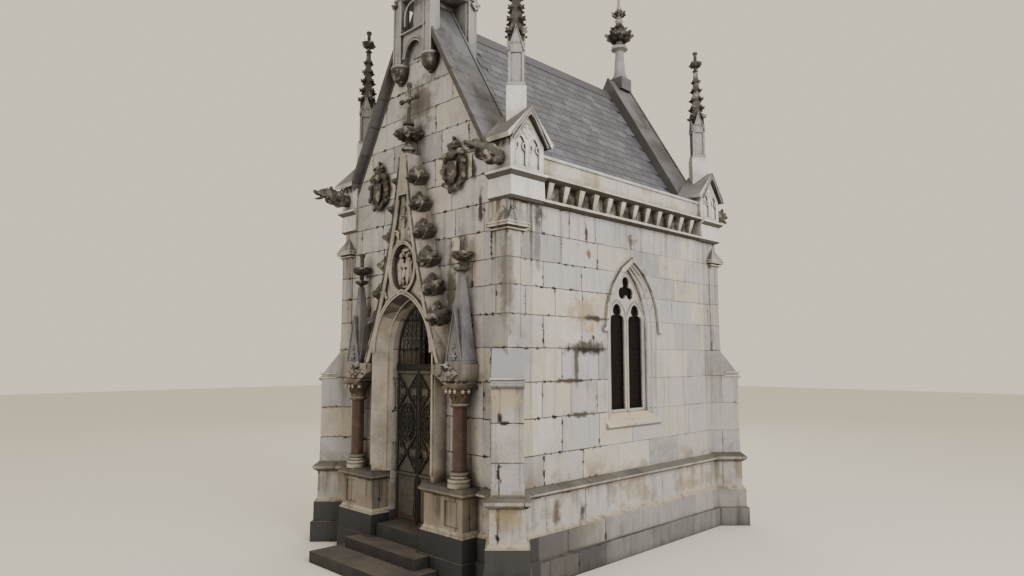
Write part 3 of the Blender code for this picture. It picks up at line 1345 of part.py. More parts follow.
make_floor()
make_steps()
make_front_wall()
make_rear_wall()
make_side_walls()
make_windows()
make_corner_piers()
make_corner_blocks()
make_pinnacles()
make_rear_finial()
make_gargoyles()
make_roof()
make_copings()
make_cornices()
make_gutters()
make_portal_gable()
make_relief()
make_portal_finial()
make_portal_plinths()
make_columns()
make_imposts()
make_portal_pinnacles()
make_coats_of_arms()
make_door()
make_grille()
make_turret()

bpy.data.collections.remove(TOOLS)
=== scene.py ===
"""Stone, slate and iron for the burial chapel, with its finer carving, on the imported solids.

Metres, +Z up. The chapel's front faces -Y.
"""

import random
from math import asin, atan, atan2, cos, degrees, pi, radians, sin, sqrt

import bmesh
import bpy
from mathutils import Matrix, Vector


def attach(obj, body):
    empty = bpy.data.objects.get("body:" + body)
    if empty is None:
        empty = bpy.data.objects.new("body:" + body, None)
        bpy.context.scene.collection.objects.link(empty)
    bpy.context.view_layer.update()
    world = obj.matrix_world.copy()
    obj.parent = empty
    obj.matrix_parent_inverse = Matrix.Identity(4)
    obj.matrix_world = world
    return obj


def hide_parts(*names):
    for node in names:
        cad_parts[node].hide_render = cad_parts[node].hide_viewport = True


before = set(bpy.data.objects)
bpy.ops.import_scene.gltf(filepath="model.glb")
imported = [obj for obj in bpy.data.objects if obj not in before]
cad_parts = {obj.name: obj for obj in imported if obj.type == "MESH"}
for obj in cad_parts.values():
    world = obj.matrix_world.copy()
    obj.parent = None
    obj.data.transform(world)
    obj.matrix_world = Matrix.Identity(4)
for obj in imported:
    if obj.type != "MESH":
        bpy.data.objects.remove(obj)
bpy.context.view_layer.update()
DICE = random.Random(11)

WALL_X = 1.995
WALL_Y = 2.75
PORTAL_FRONT = -2.97
DOOR_FRONT = -2.66
DOOR_SPRING = 3.04
ROOF_TOP = 8.43
ROOF_SLOPE = 1.65

# Heights of the ashlar's bed joints, from the ground to the top of the gable
BEDS = (0.0, 0.31, 0.64, 1.13, 1.245, 1.66, 2.15, 2.64, 3.10, 3.55, 3.94, 4.30, 4.69, 5.09, 5.50, 5.92,
        6.34, 6.76, 7.18, 7.60, 8.02, 8.44, 8.86)
MEAN_COURSE = 0.43
# Strength of the drips against the share of the height up to the last bed joint
DRIPS = ((0.0, 0.75), (0.05, 0.55), (0.08, 0.1), (0.1, 0.9), (0.13, 0.95), (0.14, 0.05), (0.2, 0.15),
         (0.27, 0.55), (0.3, 0.6), (0.34, 0.5), (0.36, 0.2), (0.44, 0.4), (0.535, 0.95), (0.575, 1.0),
         (0.58, 0.3), (0.7, 0.5), (1.0, 0.9))
# How far a stain reaches through the wall that it lies on
STAIN_DEPTH = 0.30

# Finishes


def tint(code):
    """An sRGB hex value as a linear colour."""
    channels = [int(code[place:place + 2], 16) / 255 for place in (1, 3, 5)]
    return [c / 12.92 if c <= 0.04045 else ((c + 0.055) / 1.055) ** 2.4 for c in channels] + [1.0]


def add(kind, links=None, stops=None, tree=None, **settings):
    """A shader node with its settings, values and incoming links. Its tree is that of its links."""
    links = links or {}
    if tree is None:
        tree = next(value.id_data for value in links.values() if isinstance(value, bpy.types.NodeSocket))
    made = tree.nodes.new("ShaderNode" + kind)
    for name, value in settings.items():
        setattr(made, name, value)
    for name, value in links.items():
        if isinstance(value, bpy.types.NodeSocket):
            tree.links.new(value, made.inputs[name])
        else:
            made.inputs[name].default_value = value
    if stops and kind == "ValToRGB":
        ramp = made.color_ramp
        while len(ramp.elements) < len(stops):
            ramp.elements.new(0.5)
        for element, (place, colour) in zip(ramp.elements, stops):
            element.position = place
            element.color = tint(colour)
    elif stops:
        curve = made.mapping.curves[0]
        while len(curve.points) < len(stops):
            curve.points.new(0.5, 0.5)
        for point, place in zip(curve.points, stops):
            point.location = place
            point.handle_type = "VECTOR"
        made.mapping.update()
    return made


class Look:
    """A material under way: its shader, its coordinates and a bump that feeds the shader's normal."""

    def __init__(self, name, roughness, metallic=0.0, bump=0.004):
        self.material = bpy.data.materials.new(name)
        self.material.use_nodes = True
        self.tree = self.material.node_tree
        self.shader = self.tree.nodes["Principled BSDF"]
        self.shader.inputs["Roughness"].default_value = roughness
        self.shader.inputs["Metallic"].default_value = metallic
        places = add("TexCoord", tree=self.tree).outputs
        self.where = places["Object"]
        self.normal = places["Normal"]
        self.relief = add("Bump", {"Distance": bump, "Strength": 1.0}, tree=self.tree)
        self.tree.links.new(self.relief.outputs[0], self.shader.inputs["Normal"])

    def hollows(self, reach):
        """1 in the open and less in hollows narrower than the reach."""
        return add("AmbientOcclusion", {"Distance": reach}, tree=self.tree, samples=6).outputs[1]

    def made(self, colour, height):
        """The material, once its colour and its height are linked."""
        self.tree.links.new(colour, self.shader.inputs["Base Color"])
        self.tree.links.new(height, self.relief.inputs["Height"])
        return self.material


def ramp(value, stops):
    return add("ValToRGB", {0: value}, stops=stops).outputs[0]


def mixed(factor, first, second, way="MIX"):
    """Colour socket of first and second, sockets or hex values, mixed by a factor."""
    first, second = [tint(colour) if isinstance(colour, str) else colour for colour in (first, second)]
    return add("Mix", {0: factor, 6: first, 7: second}, data_type="RGBA", blend_type=way).outputs[2]


def sums(way, first, second=0.0, clamp=False):
    """Value socket of one sum."""
    return add("Math", {0: first, 1: second}, operation=way, use_clamp=clamp).outputs[0]


def plus(first, second, clamp=False):
    return sums("ADD", first, second, clamp)


def minus(first, second):
    return sums("SUBTRACT", first, second)


def times(first, *others):
    for other in others:
        first = sums("MULTIPLY", first, other)
    return first


def swing(noise, amount):
    """A noise value about nought, times an amount."""
    return times(minus(noise, 0.5), amount)


def span(value, low, high, to_low=0.0, to_high=1.0):
    """A value mapped smoothly from one range to another."""
    return add("MapRange", {0: value, 1: low, 2: high, 3: to_low, 4: to_high},
               interpolation_type="SMOOTHSTEP").outputs[0]


def band(value, rise, fall, strength=1.0):
    """The strength between a rise and a fall, and nought beyond them."""
    return times(span(value, *rise), span(value, *fall, 0.0, strength))


def cloud(vector, scale, detail=3.0, roughness=0.55):
    return add("TexNoise", {"Vector": vector, "Scale": scale, "Detail": detail,
                            "Roughness": roughness}).outputs[0]


def brickwork(parts, facing, noise):
    """Blocks in the courses of the beds: one pattern with fine joints and one with broad joints."""
    sideways = plus(sums("ABSOLUTE", facing[1]), 0.08)
    across = sums("GREATER_THAN", sums("ABSOLUTE", facing[0]), sideways)
    run = add("Mix", {0: across, 2: parts[0], 3: parts[1]}).outputs[0]
    top = BEDS[-1]
    count = len(BEDS) - 1
    steps = [(bed / top, index / count) for index, bed in enumerate(BEDS)]
    course = times(add("FloatCurve", {1: sums("DIVIDE", parts[2], top)}, stops=steps).outputs[0], count)
    laid = add("CombineXYZ", {0: sums("DIVIDE", run, MEAN_COURSE), 1: plus(course, swing(noise, 0.05))})
    size = {"Vector": laid.outputs[0], "Color1": tint("#000000"), "Color2": tint("#ffffff"),
            "Mortar": tint("#808080"), "Scale": 1.0, "Bias": 0.0, "Brick Width": 1.95, "Row Height": 1.0}
    return [add("TexBrick", {**size, "Mortar Size": width, "Mortar Smooth": smooth}, offset=0.46,
                offset_frequency=2, squash=0.72, squash_frequency=3).outputs
            for width, smooth in ((0.017, 0.4), (0.085, 0.8))]


def stone(name, tints, soot_and_underside_shade=0.5, courses=False, joint=1.0, drips=0.5, crust_and_hollow_shade=0.6, ledge="#5b5751", damp=0.0,
          stains=(), worn=None, bump=0.006, end_face_shade=None):
    """Weathered limestone. Tooled faces hold their light tint; drips and ledges turn black, hollows turn
    black with crust and painted shade, and faces that look down turn black with soot and painted shade.
    """
    look = Look(name, 0.86, bump=bump)
    where = look.where
    parts = add("SeparateXYZ", {0: where}).outputs
    height = parts[2]
    facing = add("SeparateXYZ", {0: look.normal}).outputs
    large = cloud(where, 1.4, 5.0, 0.62)
    medium = cloud(where, 7.0, 5.0, 0.6)
    fine = cloud(where, 38.0, 4.0, 0.7)
    if courses:
        beds, broad = brickwork(parts, facing, medium)
        each = plus(beds[0], swing(medium, 0.5))
    else:
        each = span(large, 0.3, 0.7)
    colour = ramp(each, [(index / (len(tints) - 1), code) for index, code in enumerate(tints)])
    colour = mixed(span(fine, 0.35, 0.8, 0.0, 0.30), colour, "#8d8880", "MULTIPLY")
    colour = mixed(span(large, 0.48, 0.78, 0.0, 0.45), colour, "#9c968e", "MULTIPLY")
    rough = plus(times(fine, 0.5), times(medium, 0.6))
    drawn_out = add("VectorMath", {0: where, 1: (8.0, 8.0, 0.45)}, operation="MULTIPLY").outputs[0]
    streak = cloud(drawn_out, 1.0, 4.0, 0.6)
    if drips:
        reach = add("FloatCurve", {1: sums("DIVIDE", height, BEDS[-1])}, stops=DRIPS).outputs[0]
        colour = mixed(times(span(streak, 0.47, 0.70), reach, drips), colour, "#4b4640")
    if courses:
        exposed = span(parts[1], -0.35, -1.0, 0.0, 0.75)
        zone = times(plus(span(large, 0.40, 0.60, 0.22, 0.70), exposed, True), joint)
        gap = times(beds[1], span(medium, 0.30, 0.58, 0.45, 1.0), zone)
        pitted = minus(cloud(where, 9.0, 4.0), minus(0.64, times(exposed, 0.10)))
        chips = times(broad[1], span(pitted, 0.0, 0.05), zone)
        colour = mixed(gap, colour, "#3a3026")
        colour = mixed(chips, colour, "#1c140c")
        rough = minus(rough, times(plus(gap, chips), 1.5))
    for centre, reach, dark in stains:
        away = add("VectorMath", {0: where, 1: centre}, operation="SUBTRACT").outputs[0]
        shape = add("VectorMath", {0: away, 1: [1 / r for r in reach]}, operation="MULTIPLY").outputs[0]
        far = add("VectorMath", {0: shape}, operation="LENGTH").outputs[1]
        far = plus(plus(far, swing(streak, 1.0)), swing(medium, 2.0))
        colour = mixed(span(far, 1.15, 0.3, 0.0, 0.92), colour, dark)
    if damp:
        splashed = plus(span(height, 0.70, 0.60), times(large, 0.8))
        soaked = plus(span(parts[1], -1.9, -0.3, 1.0, 0.25), span(height, 0.36, 0.28, 0, 0.4), True)
        colour = mixed(times(span(splashed, 0.5, 1.2), damp, soaked), colour, "#2c2d31")
        patchy = span(cloud(where, 3.2, 4.0), 0.46, 0.62, 0.0, 0.55)
        colour = mixed(times(band(height, (0.66, 0.78), (1.6, 1.3)), patchy), colour, "#7c6e58")
    # Hollows turn near black: partly real crust, partly painted shade from the occlusion.
    shade = look.hollows(0.22)
    colour = mixed(span(plus(shade, swing(medium, 0.5)), 0.85, 0.35, 0.0, crust_and_hollow_shade), colour, "#241d16")
    # Faces that look up: soot, and paler where the plinth, the window sills and the set-offs are washed
    flat = mixed(span(large, 0.42, 0.62, 0.0, 0.7), ledge, "#34322f")
    plinth = times(band(height, (0.58, 0.62), (0.74, 0.70)), span(medium, 0.35, 0.55, 0.4, 0.95))
    flat = mixed(plinth, flat, "#a9a08f")
    flat = mixed(band(height, (2.60, 2.63), (3.2, 3.1), 0.8), flat, "#9b9ca3")
    flat = mixed(band(height, (1.92, 1.95), (2.14, 2.12)), flat, "#bcae93")
    colour = mixed(span(plus(facing[2], swing(fine, 0.4)), 0.25, 0.6, 0.0, 0.9), colour, flat)
    # Painted shade: faces that look to the front or back take a darker colour.
    if end_face_shade:
        colour = mixed(span(sums("ABSOLUTE", facing[1]), 0.6, 0.9, 0.0, 0.85), colour, end_face_shade)
    # Faces that look down turn near black: partly soot, partly painted shade on the undersides.
    colour = mixed(span(facing[2], -0.35, -0.8, 0.0, soot_and_underside_shade), colour, "#1f1a15")
    if worn:
        colour = mixed(times(span(medium, 0.50, 0.66), span(shade, 0.45, 0.95)), colour, worn)
    return look.made(colour, rough)


# Stains on the right wall: place along it, height, reach both ways and colour
SIDE_STAINS = (
    (-1.15, 3.62, 0.42, 0.24, "#9a8d78"),
    (-1.10, 3.11, 0.62, 0.13, "#3b352e"),
    (-1.12, 3.08, 0.50, 0.045, "#16110c"),
    (-1.36, 2.86, 0.07, 0.40, "#47403a"),
    (-0.95, 3.55, 0.32, 0.05, "#2a231b"),
    (-1.00, 3.38, 0.10, 0.09, "#a58b66"),
    (-0.96, 3.27, 0.045, 0.05, "#16100a"),
    (-1.55, 2.64, 0.45, 0.04, "#3a332c"),
    (-1.25, 2.15, 0.35, 0.05, "#443d36"),
    (-1.10, 4.80, 0.05, 0.17, "#120c07"),
    (-1.05, 4.50, 0.06, 0.10, "#6b4a30"),
    (-2.18, 4.55, 0.10, 0.45, "#68696c"),
    (-2.15, 4.95, 0.14, 0.14, "#3c3a38"),
    (-1.85, 0.85, 0.10, 0.24, "#2b2a2a"),
    (-1.30, 0.80, 0.06, 0.16, "#302e2d"),
)
# Stains on the front gable wall, told in the same way
FRONT_STAINS = (
    (1.32, 5.62, 0.10, 0.22, "#2a1f16"),
    (1.45, 5.05, 0.05, 0.30, "#1d150e"),
    (1.10, 4.30, 0.12, 0.55, "#57514a"),
    (0.85, 3.9, 0.12, 0.7, "#4d473f"),
    (0.0, 6.9, 0.5, 0.5, "#615d57"),
)

# Sawn limestone laid in courses: pale, a little blue or cream from block to block, dark open joints
ASHLAR = stone(
    "sawn limestone ashlar", ("#98979a", "#aba9aa", "#b9b6b5", "#adaeb3", "#bdb5a9", "#c3c0be"),
    courses=True, drips=0.5, damp=0.85,
    stains=[((WALL_X, y, z), (STAIN_DEPTH, wide, tall), dark) for y, z, wide, tall, dark in SIDE_STAINS]
    + [((x, -WALL_Y, z), (wide, STAIN_DEPTH, tall), dark) for x, z, wide, tall, dark in FRONT_STAINS])
# Window tracery: smooth, grey-white, only lightly soiled
TRACERY = stone("window limestone", ("#a09d9c", "#b1adaa", "#bbb7b4"), drips=0.2, crust_and_hollow_shade=0.7)
# Corner piers: the same blocks with long grey-brown streaks
PIER = stone(
    "streaked pier limestone", ("#8a8888", "#a09d9b", "#b0acaa", "#a5a6ab", "#b3aa9c"),
    courses=True, drips=1.0, damp=0.95,
    stains=(((2.0, -2.8, 4.05), (0.16, 0.16, 0.75), "#6d6862"),
            ((2.2, -2.96, 2.42), (0.25, 0.25, 0.16), "#a3957f"),
            ((2.2, -2.96, 1.00), (0.30, 0.30, 0.16), "#94866f"),
            ((2.2, -2.96, 2.66), (0.30, 0.30, 0.03), "#1b1816")))
# Portal plinths: close to the ground, brown-grey with black runs
SPLASHED = stone("splashed plinth limestone", ("#68645f", "#7f7971", "#918a80", "#76726d"), courses=True,
                 drips=1.0, damp=1.0, ledge="#4a4845")
# Side pinnacles of the portal: blue-grey with black weather sides
SPIRELET = stone("weathered spirelet", ("#57575c", "#707074", "#868588"), drips=0.8, crust_and_hollow_shade=0.9)
# Finely dressed limestone of the corner blocks and the parapet, washed bright by rain
DRESSED = stone("dressed limestone", ("#bcbaba", "#cdcbcb", "#d9d7d6", "#cecac3"), drips=0.35,
                ledge="#6a6a6d", soot_and_underside_shade=0.9, crust_and_hollow_shade=0.7)
# Cornice: the same stone, with painted shade, dark brown, in the recess behind its corbels
CORNICE = stone("cornice limestone", ("#aaa7a4", "#bcb7b1", "#c8c2b8", "#b9b09f"), drips=0.6,
                ledge="#a39e96", soot_and_underside_shade=0.9, crust_and_hollow_shade=0.8,
                stains=[((side * 1.85, 0.0, 5.31), (0.11, 9.0, 0.20), "#33281e") for side in (-1, 1)])
# Limestone of the portal: cream where it is sheltered, dark in its mouldings with soot and painted shade, and
# with painted shadows of its crockets on the rakes
PORTAL = stone("portal limestone", ("#85817b", "#9d9891", "#aea79d", "#a19c95"), drips=0.6,
               crust_and_hollow_shade=0.85, soot_and_underside_shade=0.9, damp=0.4,
               stains=[((side * x, -2.86, 3.54 + 0.428 * step), (0.15, 0.15, 0.12), "#2b2724")
                       for side in (-1, 1)
                       for step, x in enumerate((0.765, 0.636, 0.516, 0.406, 0.305, 0.214))])
# Carved limestone under a thick black crust, with the high places washed paler
CARVED = stone("crusted carving", ("#2b2826", "#403c38", "#55504a", "#3a3735"), drips=0.0, crust_and_hollow_shade=0.9,
               ledge="#4a4744", soot_and_underside_shade=0.9, worn="#8a847c", bump=0.012)
# Coping slabs: lead-grey lichen over limestone, with open joints between the slabs, and painted shade on
# their faces that look to the front or back
COPING = stone("lichened coping slabs", ("#58585c", "#6b6b70", "#7a797e", "#64646a"), courses=True,
               joint=0.8, drips=0.0, crust_and_hollow_shade=0.7, ledge="#707075", soot_and_underside_shade=0.95, end_face_shade="#45423f")
# Pinnacle shafts: pale, lightly streaked
SHAFT = stone("pinnacle limestone", ("#7e7d7f", "#979698", "#aaa8a8"), drips=0.5, crust_and_hollow_shade=0.85)
# Steps: walked-on limestone, dark with soot and moss
STEP = stone("trodden step stone", ("#1f2022", "#2b2c2e", "#363637", "#262628"), drips=0.0, crust_and_hollow_shade=0.7,
             ledge="#57514a", soot_and_underside_shade=0.8)
# Capital: limestone stained a rusty brown, with traces of gilding
CAPITAL = stone("stained capital", ("#2a2019", "#3f3226", "#524231", "#33291f"), drips=0.0, crust_and_hollow_shade=0.9,
                ledge="#8f8a80", worn="#6a5a44")
# Portal relief: pale figures on a ground darkened by crust and painted shade
RELIEF = stone("relief limestone", ("#8b837c", "#a79f98", "#bdb5ae"), drips=0.0, crust_and_hollow_shade=1.0,
               ledge="#a69e96", soot_and_underside_shade=0.9)


def make_slate():
    """Riven slate: blue-grey with a faint sheen, each slate a little different, and painted shade near black
    in the gaps between slates.
    """
    look = Look("riven slate", 0.55)
    own = add("Attribute", tree=look.tree, attribute_name="slate_shade").outputs["Fac"]
    colour = ramp(own, ((0.0, "#54545d"), (0.4, "#5d5d66"), (0.75, "#66666f"), (1.0, "#6f6f78")))
    fine = cloud(look.where, 30.0, 5.0, 0.65)
    colour = mixed(span(fine, 0.4, 0.8, 0.0, 0.5), colour, "#8d8c92", "MULTIPLY")
    colour = mixed(span(cloud(look.where, 2.2, 4.0), 0.5, 0.7, 0.0, 0.35), colour, "#5d5b58")
    # Painted shade: near black where the slates meet and overlap.
    colour = mixed(span(look.hollows(0.05), 0.92, 0.45, 0.0, 0.95), colour, "#141315")
    return look.made(colour, fine)


def make_marble():
    """Polished red-brown marble, dulled by weather, with soft cloudy patches."""
    look = Look("red-brown marble", 0.42, bump=0.0005)
    colour = ramp(cloud(look.where, 9.0, 5.0, 0.7), ((0.3, "#30201d"), (0.5, "#402a26"), (0.7, "#513830")))
    return look.made(colour, cloud(look.where, 60.0))


def make_iron(name, low, high, patch, patch_reach):
    """Wrought iron under old paint that has gone matt, with rust coming through near the ground."""
    look = Look(name, 0.6, 0.35, bump=0.002)
    grain = cloud(look.where, 22.0, 5.0, 0.65)
    rust = cloud(look.where, 5.0, 5.0, 0.7)
    near = span(add("SeparateXYZ", {0: look.where}).outputs[2], patch_reach, 0.5)
    amount = span(plus(rust, times(near, 0.12)), 0.56, 0.68, 0.0, 0.8)
    return look.made(mixed(amount, ramp(grain, ((0.3, low), (0.7, high))), patch), grain)


def make_zinc():
    """Folded zinc sheet with a white bloom."""
    look = Look("weathered zinc sheet", 0.38, 0.8, bump=0.001)
    bloom = cloud(look.where, 6.0, 5.0)
    return look.made(ramp(bloom, ((0.3, "#b9c2cc"), (0.7, "#e4e8ee"))), bloom)


def make_glass():
    """Dark leaded glazing: small panes 60 mm wide and 90 mm high in lead cames, dusty, with the panes near
    black as painted shade of the unlit room behind them.
    """
    look = Look("leaded glazing", 0.55, bump=0.003)
    look.shader.inputs["Specular IOR Level"].default_value = 0.15
    parts = add("SeparateXYZ", {0: look.where}).outputs
    laid = add("CombineXYZ", {0: parts[1], 1: parts[2]}).outputs[0]
    # Painted shade: the panes are near black for the dark room behind them.
    cames = add("TexBrick", {"Vector": laid, "Color1": tint("#040303"), "Color2": tint("#0a0807"),
                             "Mortar": tint("#15120f"), "Scale": 1.0, "Mortar Size": 0.005,
                             "Brick Width": 0.06, "Row Height": 0.09}, offset=0.0).outputs
    dust = span(cloud(look.where, 4.0, 5.0), 0.5, 0.8, 0.0, 0.25)
    return look.made(mixed(dust, cames[0], "#1c1713"), cames[1])


SLATE = make_slate()
MARBLE = make_marble()
IRON = make_iron("black iron", "#0d0d0c", "#23221f", "#3a2c21", 1.0)
PANEL = make_iron("grey-green iron panel", "#403f3b", "#5b5851", "#503a29", 1.25)
ZINC = make_zinc()
GLASS = make_glass()

# Modelling

SIDES = {"right": (1, 1), "left": (-1, 1)}
CORNERS = {"front_right": (1, 1), "front_left": (-1, 1), "rear_right": (1, -1), "rear_left": (-1, -1)}
QUARTERS = (0, 90, 180, 270)


def alone(piece):
    bpy.ops.object.select_all(action="DESELECT")
    piece.select_set(True)
    bpy.context.view_layer.objects.active = piece


def added(name, data):
    """A new object of its own, selected alone."""
    made = bpy.data.objects.new(name, data)
    bpy.context.scene.collection.objects.link(made)
    alone(made)
    return made


def dropped(*patterns):
    for pattern in patterns:
        bpy.data.objects.remove(pattern, do_unlink=True)


def primitive(kind, **settings):
    """A primitive on its own, with nothing else selected."""
    bpy.ops.object.select_all(action="DESELECT")
    getattr(bpy.ops.mesh, f"primitive_{kind}_add")(**settings)
    bpy.ops.object.transform_apply(location=True, rotation=True, scale=True)
    return bpy.context.active_object


def modify(piece, kind, **settings):
    """Add one modifier and apply it."""
    alone(piece)
    change = piece.modifiers.new(kind.lower(), kind)
    for name, value in settings.items():
        setattr(change, name, value)
    bpy.ops.object.modifier_apply(modifier=change.name)
    return piece


def block(place, size, bevel=0.0, segments=2, turn=0.0):
    """A box about a place, with its edges rounded where a bevel is given."""
    made = primitive("cube", size=1, location=place, scale=size, rotation=(0, 0, turn))
    return modify(made, "BEVEL", width=bevel, segments=segments) if bevel else made


def reshaped(move):
    """A unit cube with each corner moved to where the function puts it."""
    made = primitive("cube", size=1)
    for vertex in made.data.vertices:
        vertex.co = move(*vertex.co)
    return made


def joined(name, pieces):
    alone(pieces[0])
    for other in pieces[1:]:
        other.select_set(True)
    bpy.ops.object.join()
    made = bpy.context.active_object
    made.name = name
    return made


def edit(piece, wanted):
    """Enter edit mode with the faces selected whose normal passes the test."""
    alone(piece)
    bpy.ops.object.mode_set(mode="EDIT")
    bpy.ops.mesh.select_mode(type="FACE")
    bpy.ops.mesh.select_all(action="DESELECT")
    shape = bmesh.from_edit_mesh(piece.data)
    for face in shape.faces:
        face.select_set(wanted(face.normal))
    bmesh.update_edit_mesh(piece.data)


def done():
    bpy.ops.object.mode_set(mode="OBJECT")


def weld():
    """In edit mode: weld points that meet, turn the faces outwards and leave edit mode."""
    bpy.ops.mesh.select_all(action="SELECT")
    bpy.ops.mesh.remove_doubles(threshold=0.0002)
    bpy.ops.mesh.normals_make_consistent(inside=False)
    done()


def gathered(name, pattern, places):
    """Copies of the pattern's mesh at every place, as one piece."""
    shape = bmesh.new()
    for place in places:
        mesh = pattern.data.copy()
        mesh.transform(place)
        if place.determinant() < 0:
            mesh.flip_normals()
        shape.from_mesh(mesh)
        bpy.data.meshes.remove(mesh)
    mesh = bpy.data.meshes.new(name)
    shape.to_mesh(mesh)
    shape.free()
    return added(name, mesh)


def finished(piece, look, body="root", nodes=(), angle=38):
    """Give the piece its finish and let it ride on its body."""
    piece.data.materials.clear()
    piece.data.materials.append(look)
    alone(piece)
    bpy.ops.object.shade_smooth_by_angle(angle=radians(angle))
    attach(piece, body)
    if nodes:
        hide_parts(*nodes)
    return piece


def mirrored(name, pattern, look, ends=SIDES, body="root", node=""):
    """A finished copy of the pattern on both sides or at all corners. The pattern itself goes."""
    for end, flips in ends.items():
        piece = gathered(f"{name}_{end}", pattern, [Matrix.Diagonal((*flips, 1, 1))])
        finished(piece, look, body.format(end), [f"{node}_{end}"] if node else ())
    dropped(pattern)


def spun(name, profile, x, y, steps=24):
    """A turned piece: a profile of (radius, z) points spun about the vertical line at x, y."""
    mesh = bpy.data.meshes.new(name)
    mesh.from_pydata([(x + radius, y, z) for radius, z in profile],
                     [(index, index + 1) for index in range(len(profile) - 1)], [])
    piece = added(name, mesh)
    bpy.ops.object.mode_set(mode="EDIT")
    bpy.ops.mesh.select_all(action="SELECT")
    bpy.ops.mesh.spin(steps=steps, angle=2 * pi, center=(x, y, 0), axis=(0, 0, 1))
    weld()
    return piece


def from_curve(name, paths, closed, **settings):
    """The mesh of a curve along paths of points."""
    curve = bpy.data.curves.new(name, "CURVE")
    curve.bevel_resolution = 2
    for key, value in settings.items():
        setattr(curve, key, value)
    for path in paths:
        spline = curve.splines.new("POLY")
        spline.points.add(len(path) - 1)
        for point, spot in zip(spline.points, path):
            point.co = (*spot, 1.0)
        spline.use_cyclic_u = closed
    added(name, curve)
    bpy.ops.object.convert(target="MESH")
    return bpy.context.active_object


def roll(name, paths, radius, closed=False):
    """Round mouldings along paths of points."""
    return from_curve(name, paths, closed, dimensions="3D", bevel_depth=radius, use_fill_caps=True)


def flat_stone(name, outlines, thick, edge):
    """A slab cut through by every outline after the first, with rounded edges; it lies in the XY plane."""
    piece = from_curve(name, [[(u, v, 0.0) for u, v in outline] for outline in outlines], True,
                       dimensions="2D", fill_mode="BOTH", extrude=thick / 2 - edge, bevel_depth=edge)
    bpy.ops.object.mode_set(mode="EDIT")
    weld()
    return piece


def arch(half, spring, rise, steps=12):
    """A pointed arch from its right springing over the apex to its left one."""
    radius = (half * half + rise * rise) / (2 * half)
    sweep = atan2(rise, radius - half)
    right = [(half - radius + radius * cos(sweep * step / steps),
              spring + radius * sin(sweep * step / steps)) for step in range(steps + 1)]
    return right + [(-u, v) for u, v in reversed(right[:-1])]


def arched(half, sill, spring, rise, steps=12):
    return [(half, sill)] + arch(half, spring, rise, steps) + [(-half, sill)]


def oval(half_width, half_height, middle, count=32):
    return [(middle[0] + half_width * cos(2 * pi * step / count),
             middle[1] + half_height * sin(2 * pi * step / count)) for step in range(count)]


def at(x, y, z, scale=1.0, turn=0.0, lean=0.0):
    """A place: leaned about Y, then turned about Z, both in degrees."""
    size = scale if isinstance(scale, tuple) else (scale, scale, scale)
    return (Matrix.Translation((x, y, z)) @ Matrix.Rotation(radians(turn), 4, "Z")
            @ Matrix.Rotation(radians(lean), 4, "Y") @ Matrix.Diagonal((*size, 1)))


def around(x, y, out, angle, z, scale, turn=0.0):
    """A place at a distance and an angle from an upright line, turned on from that angle."""
    return at(x + out * cos(radians(angle)), y + out * sin(radians(angle)), z, scale, angle + turn)


def carved(name, lobes, voxel, keep, rough=0.0, grain=0.1):
    """A carving: rounded masses melted into one skin, chiselled a little and thinned.

    A mass has a place, a size and, where it isn't upright, its turn in degrees.
    """
    parts = [primitive("ico_sphere", subdivisions=2, location=where, scale=size,
                       rotation=[radians(a) for a in (turn[0] if turn else (0, 0, 0))])
             for where, size, *turn in lobes]
    piece = joined(name, parts)
    modify(piece, "REMESH", mode="VOXEL", voxel_size=voxel)
    if rough:
        pattern = bpy.data.textures.get("chisel") or bpy.data.textures.new("chisel", "CLOUDS")
        pattern.noise_scale = grain
        modify(piece, "DISPLACE", texture=pattern, texture_coords="LOCAL", strength=rough, mid_level=0.5)
    return modify(piece, "DECIMATE", ratio=keep)


# Crocket, one unit long along +X: a bud between curled leaves
CROCKET = carved("crocket", (
    ((0.18, 0, -0.12), (0.34, 0.26, 0.30)),
    ((0.50, 0, 0.16), (0.34, 0.30, 0.26), (0, -20, 0)),
    ((0.42, 0.36, 0.04), (0.30, 0.24, 0.17), (30, 0, 25)),
    ((0.42, -0.36, 0.04), (0.30, 0.24, 0.17), (-30, 0, -25)),
    ((0.16, 0.22, 0.36), (0.20, 0.20, 0.26), (0, 20, 0)),
    ((0.16, -0.22, 0.36), (0.20, 0.20, 0.26), (0, 20, 0)),
    ((0.80, 0, 0.30), (0.17, 0.20, 0.17)),
    ((0.14, 0, 0.62), (0.14, 0.16, 0.22), (0, 10, 0)),
), 0.075, 0.30)
# Leaf, one unit high: it rises from the origin and curls forwards along -Y
LEAF = carved("leaf", (
    ((0, -0.05, 0.25), (0.20, 0.12, 0.32)),
    ((0.16, -0.12, 0.55), (0.18, 0.12, 0.22), (0, 25, 0)),
    ((-0.16, -0.12, 0.55), (0.18, 0.12, 0.22), (0, -25, 0)),
    ((0, -0.20, 0.78), (0.18, 0.18, 0.20)),
    ((0, -0.36, 0.80), (0.13, 0.13, 0.12)),
), 0.07, 0.4)
# Star flower, one unit across, facing -Y: a bud and six petals
PETAL_TURNS = [2 * pi * k / 6 for k in range(6)]
FLOWER = carved("flower", [
    ((0.32 * cos(a), 0, 0.32 * sin(a)), (0.24, 0.12, 0.12), (0, -degrees(a), 0)) for a in PETAL_TURNS
] + [((0, -0.08, 0), (0.14, 0.14, 0.14))], 0.06, 0.4)

# Roof


